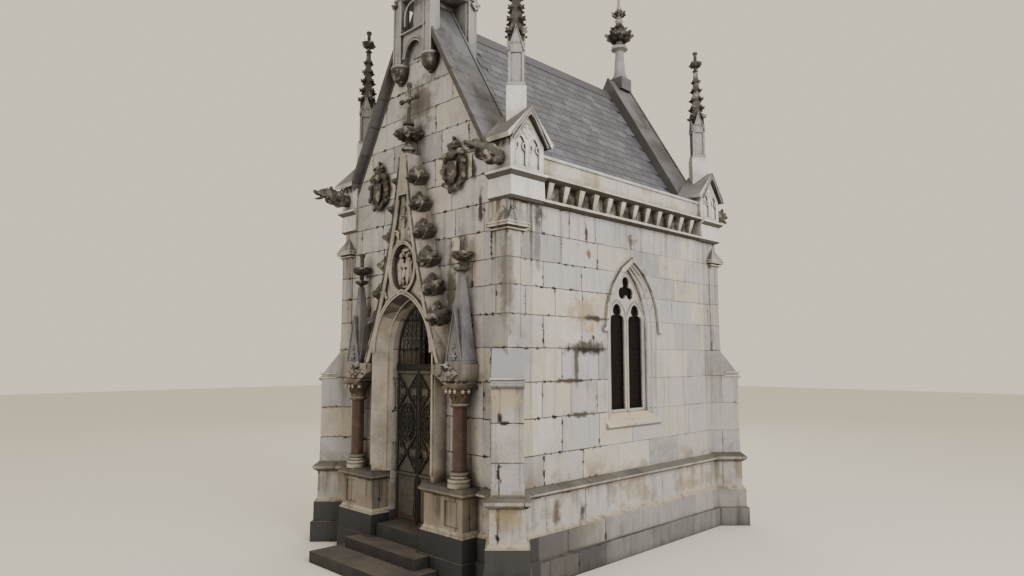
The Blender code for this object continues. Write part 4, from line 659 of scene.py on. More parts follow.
def make_slates():
    """Double-lapped slates 262 mm wide in seventeen courses on each slope, cut round the turret."""
    pattern = block((0, 0, 0), (0.27, 0.262, 0.012), 0.002, 1)
    courses = 17
    first, last = 0.105, 1.625
    shades = []
    places = []
    for side in (-1, 1):
        for course in range(courses):
            x = first + (last - first) * (course + 0.45) / courses
            for column in range(-8, 9):
                y = column * 0.268 + (0.134 if course % 2 else 0.0)
                if abs(y) > 2.02 or (y < -1.80 and x < 0.58):
                    continue
                z = ROOF_TOP - ROOF_SLOPE * x + 0.006
                wobble = DICE.uniform(-0.9, 0.9)
                tilt = degrees(atan(ROOF_SLOPE)) - 1.9 + wobble * 0.3
                places.append(Matrix.Translation((side * x, y + DICE.uniform(-0.002, 0.002), z))
                              @ Matrix.Rotation(radians(side * tilt), 4, "Y")
                              @ Matrix.Rotation(radians(wobble * 0.5), 4, "Z"))
                shades.append(DICE.random())
    slates = gathered("slates", pattern, places)
    each = len(pattern.data.vertices)
    layer = slates.data.attributes.new("slate_shade", "FLOAT", "POINT")
    for index, item in enumerate(layer.data):
        item.value = shades[index // each]
    dropped(pattern)
    finished(slates, SLATE, angle=20)


# Pinnacles and finials


def make_pinnacles():
    """Panelled shaft with four gablets, spire with five rows of crockets, collar, cross-flower and stem."""
    x, y = 1.86, -2.455
    half = 0.1125
    shaft = block((x, y, 7.03), (half * 2, half * 2, 0.64))
    edit(shaft, lambda normal: abs(normal.z) < 0.5)
    bpy.ops.mesh.inset(thickness=0.035, use_individual=True)
    bpy.ops.mesh.inset(thickness=0.006, depth=-0.02, use_individual=True)
    done()
    parts = [shaft, block((x, y, 6.735), (0.255, 0.255, 0.055))]
    rolls = []
    for quarter in QUARTERS:
        turn = Matrix.Translation((x, y, 0)) @ Matrix.Rotation(radians(quarter), 4, "Z")
        hood = ((-half, 7.22), (0, 7.60), (half, 7.22))
        rolls.append([turn @ Vector((u, -half - 0.004, v)) for u, v in hood])
        rolls.append([turn @ Vector((u * 0.6, -half + 0.004, v)) for u, v in arch(0.085, 7.22, 0.15, 6)])
        parts.append(reshaped(lambda u, v, w: turn @ Vector((
            u * 2 * half * (1 if w < 0 else 0.02), -half * (0.55 + 0.45 * (v < 0)),
            7.20 + (w + 0.5) * 0.38))))
    shaft = joined("pinnacle_shaft", parts + [roll("hoods", rolls, 0.011)])
    spire = primitive("cone", vertices=4, radius1=0.120, radius2=0.046, depth=1.02, location=(x, y, 7.91))
    collar = spun("collar", ((0.0, 8.45), (0.05, 8.45), (0.062, 8.435), (0.05, 8.42), (0.0, 8.42)), x, y, 12)
    stem = spun("stem", ((0.0, 8.81), (0.045, 8.81), (0.05, 8.78), (0.032, 8.75), (0.032, 8.4),
                         (0.0, 8.4)), x, y, 10)
    knop = block((x, y, 8.57), (0.17, 0.17, 0.10), 0.02, turn=pi / 4)
    places = []
    for level in range(5):
        z = 7.50 + 0.178 * level
        reach = 0.118 - 0.090 * (z - 7.40) / 1.02
        places += [around(x, y, reach, quarter, z, 0.105 - 0.009 * level) for quarter in QUARTERS]
    places += [around(x, y, 0.05, quarter, 8.55, 0.10) for quarter in QUARTERS]
    spire = joined("pinnacle_spire", [spire, collar, stem, knop, gathered("crockets", CROCKET, places)])
    shaft.data.transform(Matrix.Translation((x, y, 0)) @ Matrix.Rotation(pi / 4, 4, "Z")
                         @ Matrix.Translation((-x, -y, 0)))
    mirrored("pinnacle_shaft", shaft, SHAFT, CORNERS)
    mirrored("pinnacle_spire", spire, CARVED, CORNERS, node="pinnacle")


def cross_flower(x, y, low, size, arms, turn=0):
    """Places of the leaves of a cross-flower: a lower ring that spreads and a top ring that closes."""
    places = []
    out = size * 0.42
    for arm in range(arms):
        angle = turn + 360 / arms * arm
        places.append(around(x, y, out, angle, low, size * 0.95))
        ahead = radians(angle) + 0.8
        places.append(at(x + out * 0.5 * cos(ahead), y + out * 0.5 * sin(ahead), low + size * 0.35,
                         size * 0.6, angle + 45, -25))
    return places


def make_finials():
    y = -2.92
    profile = ((0.0, 7.20), (0.026, 7.20), (0.045, 7.17), (0.045, 7.14), (0.026, 7.10), (0.028, 6.62),
               (0.05, 6.57), (0.085, 6.555), (0.088, 6.52), (0.06, 6.50), (0.05, 6.47), (0.062, 6.42),
               (0.055, 6.34), (0.05, 6.22), (0.085, 6.17), (0.105, 6.15), (0.105, 6.12), (0.07, 6.10),
               (0.075, 6.0505), (0.0, 6.0505))
    stem = spun("stem", profile, 0, y, 20)
    arm = block((0, y, 6.93), (0.38, 0.045, 0.045), 0.008)
    ends = [primitive("ico_sphere", subdivisions=2, location=(side * 0.19, y, 6.93),
                      scale=(0.042, 0.04, 0.045)) for side in (-1, 1)]
    knop = block((0, y, 6.415), (0.34, 0.30, 0.075), 0.015)
    spots = ((1, 0, 0), (-1, 0, 180), (0, 1, 90), (0, -1, -90),
             (0.8, 0.8, 45), (-0.8, 0.8, 135), (-0.8, -0.8, -135), (0.8, -0.8, -45))
    leaves = gathered("leaves", CROCKET, [at(u * 0.10, y + v * 0.08, 6.34, (0.15, 0.15, 0.14), turn)
                                         for u, v, turn in spots])
    finished(joined("portal_cross", [stem, arm, *ends, knop, leaves]), CARVED, nodes=["portal_finial"])
    y = 2.58
    profile = ((0.0, 10.84), (0.03, 10.84), (0.045, 10.81), (0.028, 10.77), (0.03, 10.50), (0.05, 10.46),
               (0.05, 10.20), (0.085, 10.16), (0.085, 10.13), (0.05, 10.08), (0.07, 9.95), (0.075, 9.66),
               (0.10, 9.60), (0.17, 9.56), (0.175, 9.50), (0.11, 9.46), (0.085, 9.42), (0.125, 8.95),
               (0.165, 8.88), (0.165, 8.8405), (0.0, 8.8405))
    finished(spun("ridge_stem", profile, 0, y, 20), SHAFT, nodes=["rear_finial"])
    leaves = cross_flower(0, y, 9.76, 0.24, 8) + cross_flower(0, y, 9.96, 0.14, 4, 45)
    leaves += cross_flower(0, y, 10.28, 0.13, 6)
    finished(gathered("ridge_flower", CROCKET, leaves), CARVED)


def make_portal_pinnacles():
    """Steep side pinnacle: roll-edged gablet, spire, ring and a flared cross-flower."""
    x, y = 1.242, -2.8979
    low = 2.8803
    body = block((x, y, low + 0.02), (0.36, 0.28, 0.04))
    spire = reshaped(lambda u, v, w: (x + u * 2 * (0.165 if w < 0 else 0.036),
                                      y + v * 2 * (0.13 if w < 0 else 0.036), low + 0.03 + (w + 0.5) * 1.20))
    gable = reshaped(lambda u, v, w: (x + u * 2 * (0.160 if w < 0 else 0.006),
                                      y - 0.132 + (v + 0.5) * 0.10, low + 0.03 + (w + 0.5) * 0.72))
    front = y - 0.137
    rolls = [[(x + side * 0.155, front, low + 0.04), (x, front, low + 0.76)] for side in (-1, 1)]
    rolls += [[(x + side * 0.165, y + off, low + 0.04), (x + side * 0.10, y, low + 0.62)]
              for side in (-1, 1) for off in (-0.11, 0.11)]
    edges = roll("edges", rolls, 0.013)
    foils = gathered("foils", FLOWER, [at(x, front - 0.005, low + 0.10, 0.13),
                                       at(x, front, low + 0.24, 0.08)])
    stem = spun("stem", ((0.0, 4.65), (0.05, 4.65), (0.05, 4.62), (0.032, 4.58), (0.032, 4.44), (0.05, 4.42),
                         (0.05, 4.36), (0.035, 4.30), (0.032, 4.22), (0.09, 4.19), (0.09, 4.165),
                         (0.035, 4.13), (0.033, 4.05), (0.0, 4.05)), x, y, 16)
    knop = block((x, y, 4.40), (0.25, 0.23, 0.055), 0.012)
    plate = block((x, y, 4.19), (0.17, 0.16, 0.045), 0.012)
    leaves = gathered("leaves", CROCKET, [around(x, y, 0.04, turn, 4.34, (0.12, 0.115, 0.10))
                                         for turn in range(0, 360, 45)])
    mirrored("side_pinnacle", joined("spirelet", [body, spire, gable, edges, foils]), SPIRELET,
             node="portal_pinnacle")
    mirrored("side_flower", joined("flare", [stem, knop, plate, leaves]), CARVED)


# Beasts, arms and figures


def make_gargoyles():
    """A crouching beast that leans out: neck, heavy head with brow and open jaw, mane and folded wings."""
    x, y, z = 1.895, -2.79, 5.65
    lobes = [((x, y - 0.05, z), (0.085, 0.14, 0.11)),
             ((x, y - 0.20, z + 0.01), (0.07, 0.14, 0.085)),
             ((x, y - 0.34, z + 0.05), (0.085, 0.11, 0.10)),
             ((x, y - 0.46, z + 0.07), (0.08, 0.10, 0.085)),
             ((x, y - 0.57, z + 0.055), (0.058, 0.09, 0.04), (-8, 0, 0)),
             ((x, y - 0.55, z - 0.03), (0.045, 0.09, 0.024), (16, 0, 0)),
             ((x, y - 0.635, z + 0.075), (0.035, 0.03, 0.028))]
    for side in (-1, 1):
        lobes += [((x + side * 0.055, y - 0.36, z + 0.145), (0.028, 0.04, 0.06), (25, side * 20, 0)),
                  ((x + side * 0.042, y - 0.50, z + 0.11), (0.032, 0.035, 0.026)),
                  ((x + side * 0.075, y - 0.33, z), (0.035, 0.07, 0.08), (0, 0, side * 12)),
                  ((x + side * 0.085, y - 0.22, z + 0.05), (0.028, 0.12, 0.085), (-14, 0, 0)),
                  ((x + side * 0.065, y - 0.14, z - 0.07), (0.035, 0.10, 0.05), (10, 0, 0))]
    lobes += [((x, y - 0.26 - 0.05 * k, z + 0.13 - 0.005 * k), (0.03, 0.035, 0.05), (30, 0, 0))
              for k in range(4)]
    beast = carved("beast", lobes, 0.011, 0.5, 0.016, 0.05)
    beam = block((x, y - 0.17, z - 0.035), (0.135, 0.36, 0.12), 0.02)
    mirrored("beast", joined("gargoyle", [beast, beam]), CARVED, CORNERS, node="gargoyle")


def make_arms():
    """A blank shield on leafy mantling, with a helm and a low crown."""
    x, face, z = 0.936, -2.7503, 5.70
    lobes = [((x, face - 0.02, z - 0.03), (0.27, 0.03, 0.32))]
    for k in range(18):
        angle = 2 * pi * k / 18
        reach = 1.0 if k % 2 else 0.86
        lobes.append(((x + 0.245 * reach * cos(angle), face - 0.045 - 0.02 * (k % 2),
                       z - 0.04 + 0.30 * reach * sin(angle)),
                      (0.066, 0.035, 0.040), (0, -degrees(angle) + 50, 0)))
    for side in (-1, 1):
        lobes += [((x + side * 0.17, face - 0.07, z + 0.19), (0.075, 0.04, 0.05), (0, side * 30, 0)),
                  ((x + side * 0.21, face - 0.06, z + 0.02), (0.035, 0.035, 0.09), (0, side * 15, 0)),
                  ((x + side * 0.12, face - 0.06, z - 0.27), (0.07, 0.035, 0.035), (0, side * -30, 0))]
    lobes += [((x, face - 0.075, z + 0.18), (0.075, 0.05, 0.075)),
              ((x, face - 0.055, z + 0.29), (0.13, 0.055, 0.035)),
              ((x, face - 0.05, z + 0.35), (0.10, 0.05, 0.04)),
              ((x, face - 0.05, z + 0.43), (0.030, 0.03, 0.035))]
    lobes += [((x + 0.055 * k, face - 0.075, z + 0.345), (0.022, 0.022, 0.032)) for k in range(-2, 3)]
    mantle = carved("mantle", lobes, 0.010, 0.5, 0.028, 0.045)
    shield = block((x, face - 0.085, z - 0.03), (0.20, 0.03, 0.22))
    edit(shield, lambda normal: normal.z < -0.5)
    bpy.ops.mesh.extrude_region_move(TRANSFORM_OT_translate={"value": (0, 0, -0.10)})
    bpy.ops.transform.resize(value=(0.3, 1, 1), center_override=(x, face - 0.085, z))
    done()
    modify(shield, "BEVEL", width=0.012, segments=2)
    edit(shield, lambda normal: normal.y < -0.9)
    bpy.ops.mesh.inset(thickness=0.02)
    bpy.ops.mesh.inset(thickness=0.004, depth=-0.008)
    done()
    mirrored("arms", joined("shield", [mantle, shield]), CARVED, node="coat_of_arms")


def make_figures():
    """Two robed figures who stand close with a small one between them. Their faces are left plain."""
    back, z = -2.9103, 4.31
    lobes = []
    for side, tall in ((-1, 1.0), (1, 0.93)):
        x = side * 0.095
        lobes += [((x, back - 0.015, z - 0.11), (0.085, 0.05, 0.17 * tall), (0, side * 6, 0)),
                  ((x - side * 0.005, back - 0.035, z + 0.06 * tall), (0.068, 0.042, 0.10),
                   (0, side * -6, 0)),
                  ((x - side * 0.02, back - 0.045, z + 0.185 * tall), (0.036, 0.036, 0.046)),
                  ((x - side * 0.02, back - 0.02, z + 0.20 * tall), (0.05, 0.028, 0.055)),
                  ((x - side * 0.055, back - 0.06, z + 0.03), (0.055, 0.022, 0.024), (0, side * 35, 0)),
                  ((x + side * 0.06, back - 0.03, z + 0.02), (0.025, 0.03, 0.085), (0, side * 12, 0)),
                  ((x + side * 0.02, back - 0.055, z - 0.15), (0.016, 0.02, 0.13), (0, side * 9, 0)),
                  ((x - side * 0.03, back - 0.055, z - 0.14), (0.014, 0.02, 0.12), (0, side * -4, 0))]
    lobes += [((0.0, back - 0.055, z - 0.09), (0.036, 0.032, 0.085), (0, 14, 0)),
              ((0.008, back - 0.065, z + 0.01), (0.026, 0.026, 0.032)),
              ((0.0, back - 0.02, z + 0.27), (0.10, 0.03, 0.035)),
              ((0.0, back - 0.01, z - 0.29), (0.10, 0.03, 0.03))]
    figures = carved("figures", lobes, 0.006, 0.5, 0.008, 0.03)
    ground = primitive("cylinder", vertices=40, radius=1, depth=0.018, location=(0, back + 0.0095, z),
                       rotation=(pi / 2, 0, 0))
    for vertex in ground.data.vertices:
        vertex.co.x *= 0.2888
        vertex.co.z = z + (vertex.co.z - z) * 0.3588
    finished(joined("portal_figures", [ground, figures]), RELIEF, nodes=["mandorla_relief"])


# Portal


def rake_half(z, sweep=0.13):
    """Half the width of the portal gable at a height: in front its rakes sweep inwards."""
    share = (z - 2.88) / 3.17
    return 0.94 - 0.84 * share - 4 * sweep * share * (1 - share)


def make_portal_carving():
    """Crockets up both rakes, rolls round the doorway, the ribbon of the almond frame and its leaves."""
    places = []
    for side in (-1, 1):
        turn = 0 if side > 0 else 180
        for step in range(6):
            z = 3.54 + 0.428 * step
            x = (rake_half(z) + rake_half(z, 0)) / 2
            size = 0.29 - 0.012 * step
            places += [at(side * (x - 0.06), -2.88, z - 0.02, (size, size * 1.25, size * 1.1), turn),
                       at(side * (x - 0.03), -2.975, z - 0.05, size * 0.62, turn - 35 * side),
                       at(side * (x - 0.02), -2.90, z + 0.09, (size * 0.32, size * 0.4, size * 0.55), turn)]
    finished(gathered("rake_crockets", CROCKET, places), CARVED)
    heights = [2.90 + 3.12 * step / 14 for step in range(15)]
    front = PORTAL_FRONT - 0.035
    arris = [[(side * (rake_half(z) - 0.012), PORTAL_FRONT - 0.052, z) for z in heights] for side in (-1, 1)]
    finished(roll("rake_arris", arris, 0.016), CARVED)
    inner = [[(side * (rake_half(z) - 0.085), front, z) for z in heights[:12]] for side in (-1, 1)]
    finished(roll("rake_rolls", inner, 0.020), PORTAL)
    rolls = []
    for share in (0.10, 0.42, 0.75):
        outline = arched(0.745 - 0.185 * share, 1.25, DOOR_SPRING, 0.905 - 0.115 * share)
        rolls.append([(u, -2.955 + 0.19 * share, v) for u, v in outline])
    finished(roll("doorway_rolls", rolls, 0.024), PORTAL)
    ribbon = [[(u, front, v) for u, v in arch(half, DOOR_SPRING, rise)]
              for half, rise in ((0.735, 0.93), (0.70, 0.885))]
    finished(roll("arch_ribbon", ribbon, 0.020), PORTAL)
    loops = [[(u, depth, v) for u, v in oval(wide, tall, (0, 4.31), 40)]
             for wide, tall, depth in ((0.322, 0.392, front), (0.295, 0.365, PORTAL_FRONT - 0.026))]
    finished(roll("almond_ribbon", loops, 0.019, closed=True), PORTAL)
    leaves = [at(side * 0.40, PORTAL_FRONT, 3.86, 0.17, 0, side * 40) for side in (-1, 1)]
    leaves += [at(side * 0.13, PORTAL_FRONT, 4.76, 0.15, 0, side * 12) for side in (-1, 1)]
    leaves += [at(0, PORTAL_FRONT, z, size) for z, size in ((4.92, 0.18), (5.12, 0.14), (5.30, 0.10))]
    finished(gathered("spandrel_leaves", LEAF, leaves), PORTAL)


def make_columns():
    x, y = 1.242, -2.916
    base = spun("base", ((0.0, 1.4488), (0.128, 1.4488), (0.14, 1.43), (0.13, 1.41), (0.112, 1.395),
                         (0.12, 1.37), (0.152, 1.352), (0.160, 1.33), (0.150, 1.31), (0.16, 1.30),
                         (0.16, 1.2453), (0.0, 1.2453)), x, y, 32)
    shaft = spun("shaft", ((0.0, 2.2980), (0.0975, 2.2980), (0.0975, 1.4493), (0.0, 1.4493)), x, y, 36)
    bell = spun("bell", ((0.0, 2.54), (0.185, 2.54), (0.15, 2.49), (0.118, 2.43), (0.112, 2.35),
                         (0.13, 2.335), (0.135, 2.315), (0.125, 2.2983), (0.0, 2.2983)), x, y, 24)
    abacus = block((x, y, 2.563), (0.38, 0.33, 0.046), 0.012)
    places = [around(x, y, 0.10, turn, 2.345, (0.10, 0.10, 0.13), 90) for turn in range(-150, 31, 30)]
    places += [around(x, y, 0.125, turn, 2.42, (0.11, 0.11, 0.12), 90) for turn in range(-165, 16, 30)]
    capital = joined("capital", [bell, abacus, gathered("leaves", LEAF, places)])
    spots = ((-0.09, -0.172, 0), (0.0, -0.178, 0), (0.09, -0.172, 0), (0.172, -0.10, 75), (0.178, 0.0, 90),
             (-0.172, -0.10, -75))
    stars = gathered("stars", FLOWER, [at(x + u, y + v, 2.515, 0.065, turn) for u, v, turn in spots])
    flower = gathered("flower", FLOWER, [at(1.182, -3.066, 2.741, (0.25, 0.12, 0.20))])
    knob = gathered("knob", CROCKET, [at(1.10, -3.02, 2.815, 0.13, -90), at(1.02, -2.98, 2.72, 0.16, 180)])
    mirrored("turned_base", base, PORTAL, node="column_base")
    mirrored("turned_shaft", shaft, MARBLE, node="column_shaft")
    mirrored("leaf_capital", capital, CAPITAL, node="column_capital")
    mirrored("star_flowers", stars, RELIEF)
    mirrored("impost_flower", flower, CARVED)
    mirrored("impost_knob", knob, CARVED)


# Door


def make_doors():
    """Ironwork on both leaves: crossed straps with rosettes, an oval medallion, frames and a knob on a lock
    plate.
    """
    left, right = 0.0465, 0.501
    middle = (left + right) / 2
    face = DOOR_FRONT
    eye = 1.99
    straps = []
    for low, high in ((1.27, 1.80), (2.18, 2.70)):
        straps += [[(left, face - 0.008, start), (right, face - 0.008, end)]
                   for start, end in ((low, high), (high, low))]
    ovals = [[(u, face - 0.012, v) for u, v in oval(0.19 - 0.045 * k, 0.28 - 0.06 * k, (middle, eye))]
             for k in range(4)]
    for k in range(10):
        spot = (middle + 0.125 * cos(pi / 5 * k), eye + 0.19 * sin(pi / 5 * k))
        ovals.append([(u, face - 0.014, v) for u, v in oval(0.042, 0.052, spot, 12)])
    curls = []
    for z in (1.535, 2.44):
        for side in (-1, 1):
            for end in (-1, 1):
                u, v = middle + side * 0.135, z + end * 0.105
                curls.append([(u + 0.06 * (1 - k / 22) * cos(side * (1.2 + k * 0.42)), face - 0.008,
                               v + 0.06 * (1 - k / 22) * sin(1.2 + k * 0.42)) for k in range(16)])
    frames = [[(u, face - 0.004, v) for u, v in ((left, low), (right, low), (right, high), (left, high))]
              for low, high in ((0.55, 1.195), (1.245, 2.72))]
    rosettes = [at(middle, face - 0.012, z, size) for z, size in ((1.535, 0.12), (2.44, 0.12), (eye, 0.17))]
    rivet = primitive("uv_sphere", segments=8, ring_count=5, radius=0.007)
    studs = [at(u, face - 0.003, 0.56 + 0.135 * k) for u in (0.024, 0.524) for k in range(17)]
    work = joined("work", [
        roll("straps", straps, 0.013), roll("rings", ovals, 0.010, closed=True),
        roll("scrolls", curls, 0.009), roll("edges", frames, 0.007, closed=True),
        gathered("rosettes", FLOWER, rosettes), gathered("studs", rivet, studs)])
    dropped(rivet)
    mirrored("ironwork", work, IRON, body="{}_leaf")
    kick = block((middle, face + 0.003, 0.87), (0.36, 0.012, 0.52), 0.005, 1)
    mirrored("kick_panel", kick, PANEL, body="{}_leaf")
    cover = block((-0.004, face - 0.004, 1.634), (0.05, 0.014, 2.25), 0.004)
    cover.name = "meeting_bar"
    finished(cover, IRON, "left_leaf")
    knob = primitive("uv_sphere", segments=16, ring_count=10, radius=0.026,
                     location=(0.07, face - 0.022, 1.50))
    plate = block((0.07, face - 0.004, 1.46), (0.045, 0.01, 0.22), 0.004)
    finished(joined("lock_plate", [plate, knob]), IRON, "right_leaf")


def make_grille():
    """Transom with a moulded edge, and thin bars, lancets and rings under the arch."""
    front = DOOR_FRONT
    low = 2.87
    bar = block((0, front + 0.025, 2.819), (1.098, 0.078, 0.10))
    edit(bar, lambda normal: normal.y < -0.5)
    bpy.ops.mesh.inset(thickness=0.02)
    bpy.ops.mesh.inset(thickness=0.006, depth=-0.012)
    done()
    depth = front + 0.018
    frame_bars = [[(u, depth, v) for u, v in arched(0.53, low, DOOR_SPRING, 0.755)]]
    frame_bars.append([(0, depth, low), (0, depth, 3.75)])
    thin = []
    for k in (-4, -3, -2, -1, 1, 2, 3, 4):
        x = k * 0.105
        top = DOOR_SPRING + 0.73 * sqrt(max(0.0, 1 - (abs(x) / 0.53) ** 1.4))
        thin.append([(x, depth, low), (x, depth, top)])
    for k in range(-5, 5):
        thin.append([((k + 0.5) * 0.105 + u, depth, v) for u, v in arch(0.05, 3.02, 0.08, 5)])
    rings = []
    for row, z in enumerate((3.20, 3.33, 3.46, 3.59)):
        for k in range(-4, 5):
            x = (k + 0.5 * (row % 2)) * 0.115
            if abs(x) < 0.47 * sqrt(max(0.0, 1 - ((z - DOOR_SPRING) / 0.74) ** 1.5)):
                rings.append([(u, depth, v) for u, v in oval(0.045, 0.045, (x, z), 12)])
    back = block((0, front + 0.05, 3.2), (0.02, 0.012, 0.66))
    whole = joined("arch_grille", [bar, roll("heavy", frame_bars, 0.015), roll("fine", thin, 0.006),
                                   roll("hoops", rings, 0.005, closed=True), back])
    finished(whole, IRON, nodes=["tympanum_grille"])


# Windows, cornice and turret


def foiled(middle, count, out, radius, start, steps=12):
    """The outline of a foiled opening: arcs round the middle that meet in cusps."""
    points = []
    share = pi / count
    reach = share + asin(min(1.0, out * sin(share) / radius))
    for lobe in range(count):
        turn = start + 2 * pi * lobe / count
        centre = (middle[0] + out * cos(turn), middle[1] + out * sin(turn))
        for step in range(steps):
            angle = turn + reach * (2 * (step + 0.5) / steps - 1)
            points.append((centre[0] + radius * cos(angle), centre[1] + radius * sin(angle)))
    return points


def light_head(middle, half, sill, spring, rise):
    """A light with a cusped head of three foils."""
    right = [(half, sill), (half, spring)]
    right += [(half - 0.10 + 0.10 * cos(a), spring + 0.085 * sin(a)) for a in (0.5, 1.0, 1.5, 2.0)]
    right += [(half * 0.44, spring + 0.075), (half * 0.62, spring + 0.12), (half * 0.60, spring + 0.17),
              (half * 0.42, spring + rise * 0.84), (0.0, spring + rise)]
    return [(middle + u, v) for u, v in right] + [(middle - u, v) for u, v in reversed(right[:-1])]


def make_windows():
    """Rolls round each side window, and its tracery: two lights with cusped heads under a large trefoil."""
    middle, off = 0.05, 0.242
    spring, light_spring = 3.42, 3.56
    outlines = [[(middle + u, v) for u, v in arched(0.487, 2.113, spring, 0.967)]]
    outlines += [light_head(middle + side * off, 0.203, 2.15, light_spring, 0.28) for side in (-1, 1)]
    outlines.append(foiled((middle, 4.055), 3, 0.118, 0.105, pi / 2))
    slab = flat_stone("slab", outlines, 0.052, 0.014)
    slab.data.transform(Matrix(((0, 0, 1, 1.852), (1, 0, 0, 0), (0, 1, 0, 0), (0, 0, 0, 1))))
    face = 1.882
    ribs = [[(face, middle + side * off + u, v) for u, v in arch(0.222, light_spring, 0.315, 10)]
            for side in (-1, 1)]
    ribs.append([(face, middle, 2.12), (face, middle, 3.70)])
    ribs.append([(1.880, middle + u, v) for u, v in arched(0.462, 2.13, spring, 0.925)])
    mirrored("tracery", joined("ribbed", [slab, roll("ribs", ribs, 0.013)]), TRACERY, node="window_tracery")
    rolls = []
    for share in (0.10, 0.55, 0.97):
        outline = arched(0.495 + 0.16 * share, 2.10 - 0.06 * share, spring, 0.975 + 0.075 * share)
        rolls.append([(1.905 + 0.085 * share, middle + u, v) for u, v in outline])
    mirrored("window_rolls", roll("rolls", rolls, 0.021), TRACERY)


def make_pier_trim():
    """Mouldings of the corner piers: under the caps and the set-offs, and stopped rolls on the arrises."""
    inner, outer = 1.747, 2.035
    front, back = -2.79, -2.502
    caps = [[(inner - out, -2.745, z), (inner - out, front - out, z), (outer + out, front - out, z),
             (outer + out, back + out, z), (1.99, back + out, z)]
            for out, z in ((0.030, 4.675), (0.064, 4.722), (0.064, 4.762))]
    corner = Vector((WALL_X, -WALL_Y, 0))
    away = Vector((1, -1, 0)).normalized()
    along = Vector((1, 1, 0)).normalized()

    def spot(out, aside, z):
        """A point of the diagonal buttress: out from the wall's corner, aside from its axis."""
        return corner + away * out + along * aside + Vector((0, 0, z))

    strips = []
    for side in (-1, 1):
        strips.append([spot(0.301, side * 0.150, z) for z in (1.36, 2.46)])
        strips.append([spot(0.301, side * (0.150 + 0.03 * sin(a)), 2.46 + 0.045 * (1 - cos(a)))
                       for a in (0.0, 0.5, 1.0, 1.57)])
    for x, y in ((inner + 0.048, front - 0.001), (outer - 0.048, front - 0.001),
                 (outer + 0.001, front + 0.048), (outer + 0.001, back - 0.048)):
        strips.append([(x, y, 3.24), (x, y, 4.60)])
    lip = ((0.05, -0.215), (0.315, -0.215), (0.315, 0.215), (0.05, 0.215))
    lips = [[spot(out, aside, z) for out, aside in lip] for z in (2.70, 2.635)]
    mirrored("cap_mouldings", roll("caps", caps, 0.013), CORNICE, CORNERS)
    mirrored("arris_rolls", roll("strips", strips, 0.007), PIER, CORNERS)
    mirrored("setoff_mouldings", roll("lips", lips, 0.014), CORNICE, CORNERS)


def make_corbel_carving():
    """A small carved bell at the head of each corbel, and leaves under the gablets' eaves."""
    bell = primitive("cone", vertices=12, radius1=0.035, radius2=0.075, depth=0.09)
    edit(bell, lambda normal: normal.z > 0.9)
    bpy.ops.mesh.extrude_region_move(TRANSFORM_OT_translate={"value": (0, 0, 0.022)})
    bpy.ops.mesh.inset(thickness=0.01)
    done()
    places = [at(side * 1.985, (index - 5.5) * 0.347, 5.385, (0.72, 0.85, 0.75))
              for side in (-1, 1) for index in range(12)]
    finished(gathered("corbel_bells", bell, places), DRESSED)
    dropped(bell)
    places = [at(side * (1.70 + 0.115 * k), end * -2.80, 5.80, (0.075, end * 0.075, 0.085))
              for side, end in CORNERS.values() for k in range(4)]
    finished(gathered("eave_leaves", LEAF, places), PORTAL)


def make_gablets():
    """Rolls along the gablet's eaves, two lancets and a four-lobed opening on its face."""
    middle, face = -2.455, 2.077
    eaves = [[(2.150, middle + u, v - drop) for u, v in ((off, 5.93), (0, 6.39), (-off, 5.93))]
             for off, drop in ((0.372, 0.012), (0.340, 0.062))]
    paths = []
    for side in (-1, 1):
        centre = middle + side * 0.135
        paths.append([(face, centre + u, v) for u, v in arched(0.10, 5.56, 5.80, 0.17, 8)])
        paths += [[(face, centre + lobe * (0.085 - 0.05 * sin(a)), 5.82 + 0.05 * cos(a))
                   for a in (pi * step / 8 for step in range(9))] for lobe in (-1, 1)]
    for turn in (pi / 2 * k for k in range(4)):
        paths.append([(face, middle + 0.055 * cos(turn) + 0.05 * cos(turn + a),
                       6.05 + 0.055 * sin(turn) + 0.05 * sin(turn + a))
                      for a in (pi * (step / 8 - 0.5) * 1.3 for step in range(9))])
    mirrored("gablet_eaves", roll("eaves", eaves, 0.016), SHAFT, CORNERS)
    mirrored("gablet_tracery", roll("lancets", paths, 0.011), DRESSED, CORNERS)


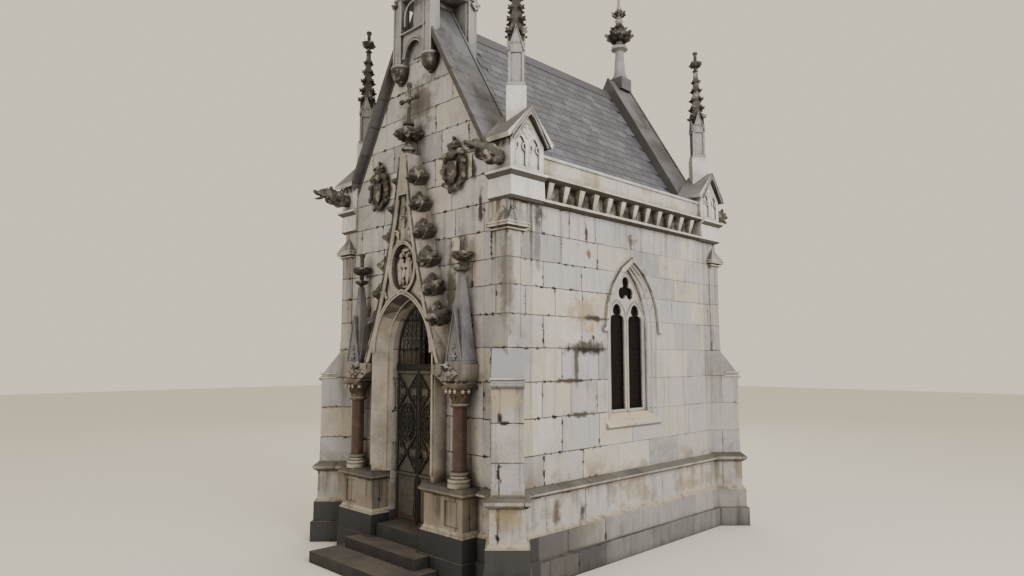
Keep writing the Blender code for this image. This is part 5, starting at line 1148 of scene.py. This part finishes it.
def make_turret_carving():
    """Leafy bowls and rings under the turret's shafts, rolls round its openings and crockets up its spire."""
    front, middle = -2.885, -2.417
    bowl = ((0.0, 7.545), (0.150, 7.545), (0.152, 7.50), (0.138, 7.43), (0.105, 7.365), (0.06, 7.325),
            (0.03, 7.31), (0.035, 7.285), (0.0, 7.275))
    ring = ((0.0, 7.60), (0.115, 7.60), (0.150, 7.585), (0.158, 7.565), (0.150, 7.546), (0.0, 7.546))
    y = front + 0.075
    places = [around(side * 0.383, y, 0.118, turn, 7.40, (0.11, 0.09, 0.12), 90)
              for side in (-1, 1) for turn in range(-180, 1, 36)]
    leaves = gathered("leaves", LEAF, places)
    bowls = [spun("bowl", bowl, side * 0.383, y) for side in (-1, 1)]
    finished(joined("turret_bowls", [leaves, *bowls]), CARVED)
    rings = [spun("ring", ring, side * 0.383, y) for side in (-1, 1)]
    finished(joined("turret_bowl_rings", rings), SHAFT)
    rolls = [[(u, front + 0.03, v) for u, v in arch(half, 7.66, rise)]
             for half, rise in ((0.27, 0.30), (0.235, 0.26))]
    rolls.append([(u, front + 0.035, v) for u, v in arched(0.24, 8.20, 8.36, 0.20, 8)])
    rolls += [[(x, front - 0.004, z) for z in (7.56, 8.60)] for x in (-0.298, -0.465, 0.298, 0.465)]
    finished(roll("turret_rolls", rolls, 0.016), SHAFT)
    places = []
    for level in range(5):
        z = 9.28 + 0.27 * level
        reach = 0.36 - 0.26 * (z - 9.2) / 1.35
        places += [around(0, middle, reach, 45 + quarter, z - 0.02, 0.16 - 0.012 * level)
                   for quarter in QUARTERS]
    for quarter in QUARTERS:
        places.append(around(0, middle, 0.58, 45 + quarter, 8.58, 0.15))
        places.append(around(0, middle, 0.10, 45 + quarter, 10.72, 0.17))
    finished(gathered("turret_crockets", CROCKET, places), CARVED)


make_slates()
make_pinnacles()
make_finials()
make_portal_pinnacles()
make_gargoyles()
make_arms()
make_figures()
make_portal_carving()
make_columns()
make_doors()
make_grille()
make_windows()
make_pier_trim()
make_corbel_carving()
make_gablets()
make_turret_carving()
dropped(CROCKET, LEAF, FLOWER)

# Finishes of the solids that stay

LOOKS = {
    "front_gable_wall": ASHLAR, "rear_gable_wall": ASHLAR, "side_wall": ASHLAR, "corner_pier": PIER,
    "corner_block": DRESSED, "side_cornice": CORNICE, "bell_turret": SHAFT,
    # The impost block takes the dark plinth stone: partly its own brown-grey, partly painted shade.
    "portal_gable": PORTAL, "portal_plinth": SPLASHED, "impost_block": SPLASHED, "front_coping": COPING,
    "rear_coping": COPING, "slate_roof": SLATE, "gutter": ZINC, "step": STEP, "threshold": STEP,
    "floor_slab": STEP, "door_leaf": PANEL, "window_glazing": GLASS,
}
for name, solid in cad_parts.items():
    for start, look in LOOKS.items():
        if name.startswith(start):
            for slot in solid.material_slots:
                slot.material = look

# Studio

floor = primitive("plane", size=120, location=(0, 0, -0.002))
floor.name = "floor"
paper = Look("pale studio floor", 0.9, bump=0.0)
paper.shader.inputs["Base Color"].default_value = tint("#ddd9d0")
floor.data.materials.append(paper.material)

world = bpy.data.worlds.new("studio")
world.use_nodes = True
world.node_tree.nodes["Background"].inputs["Color"].default_value = tint("#e4d9c3")
world.node_tree.nodes["Background"].inputs["Strength"].default_value = 1.22
bpy.context.scene.world = world


def lamp(name, place, power, colour):
    """A soft square lamp that looks at the middle of the walls."""
    light = bpy.data.lights.new(name, "AREA")
    light.size = 9
    light.energy = power
    light.color = colour
    thing = added(name, light)
    thing.location = place
    thing.rotation_euler = (Vector((0, 0, 4)) - Vector(place)).to_track_quat("-Z", "Y").to_euler()


lamp("key", (14, -3, 12), 1900, (0.97, 0.98, 1.0))
lamp("front", (-2, -16, 10), 400, (0.96, 0.98, 1.0))
lamp("back", (-12, 12, 12), 900, (0.97, 0.98, 1.0))

camera = bpy.data.cameras.new("camera")
camera.lens = 24.44
camera.sensor_width = 36
eye = added("camera", camera)
eye.location = (8.457, -9.158, 2.97)
eye.rotation_euler = (radians(95.70), 0, radians(44.9))
bpy.context.scene.camera = eye
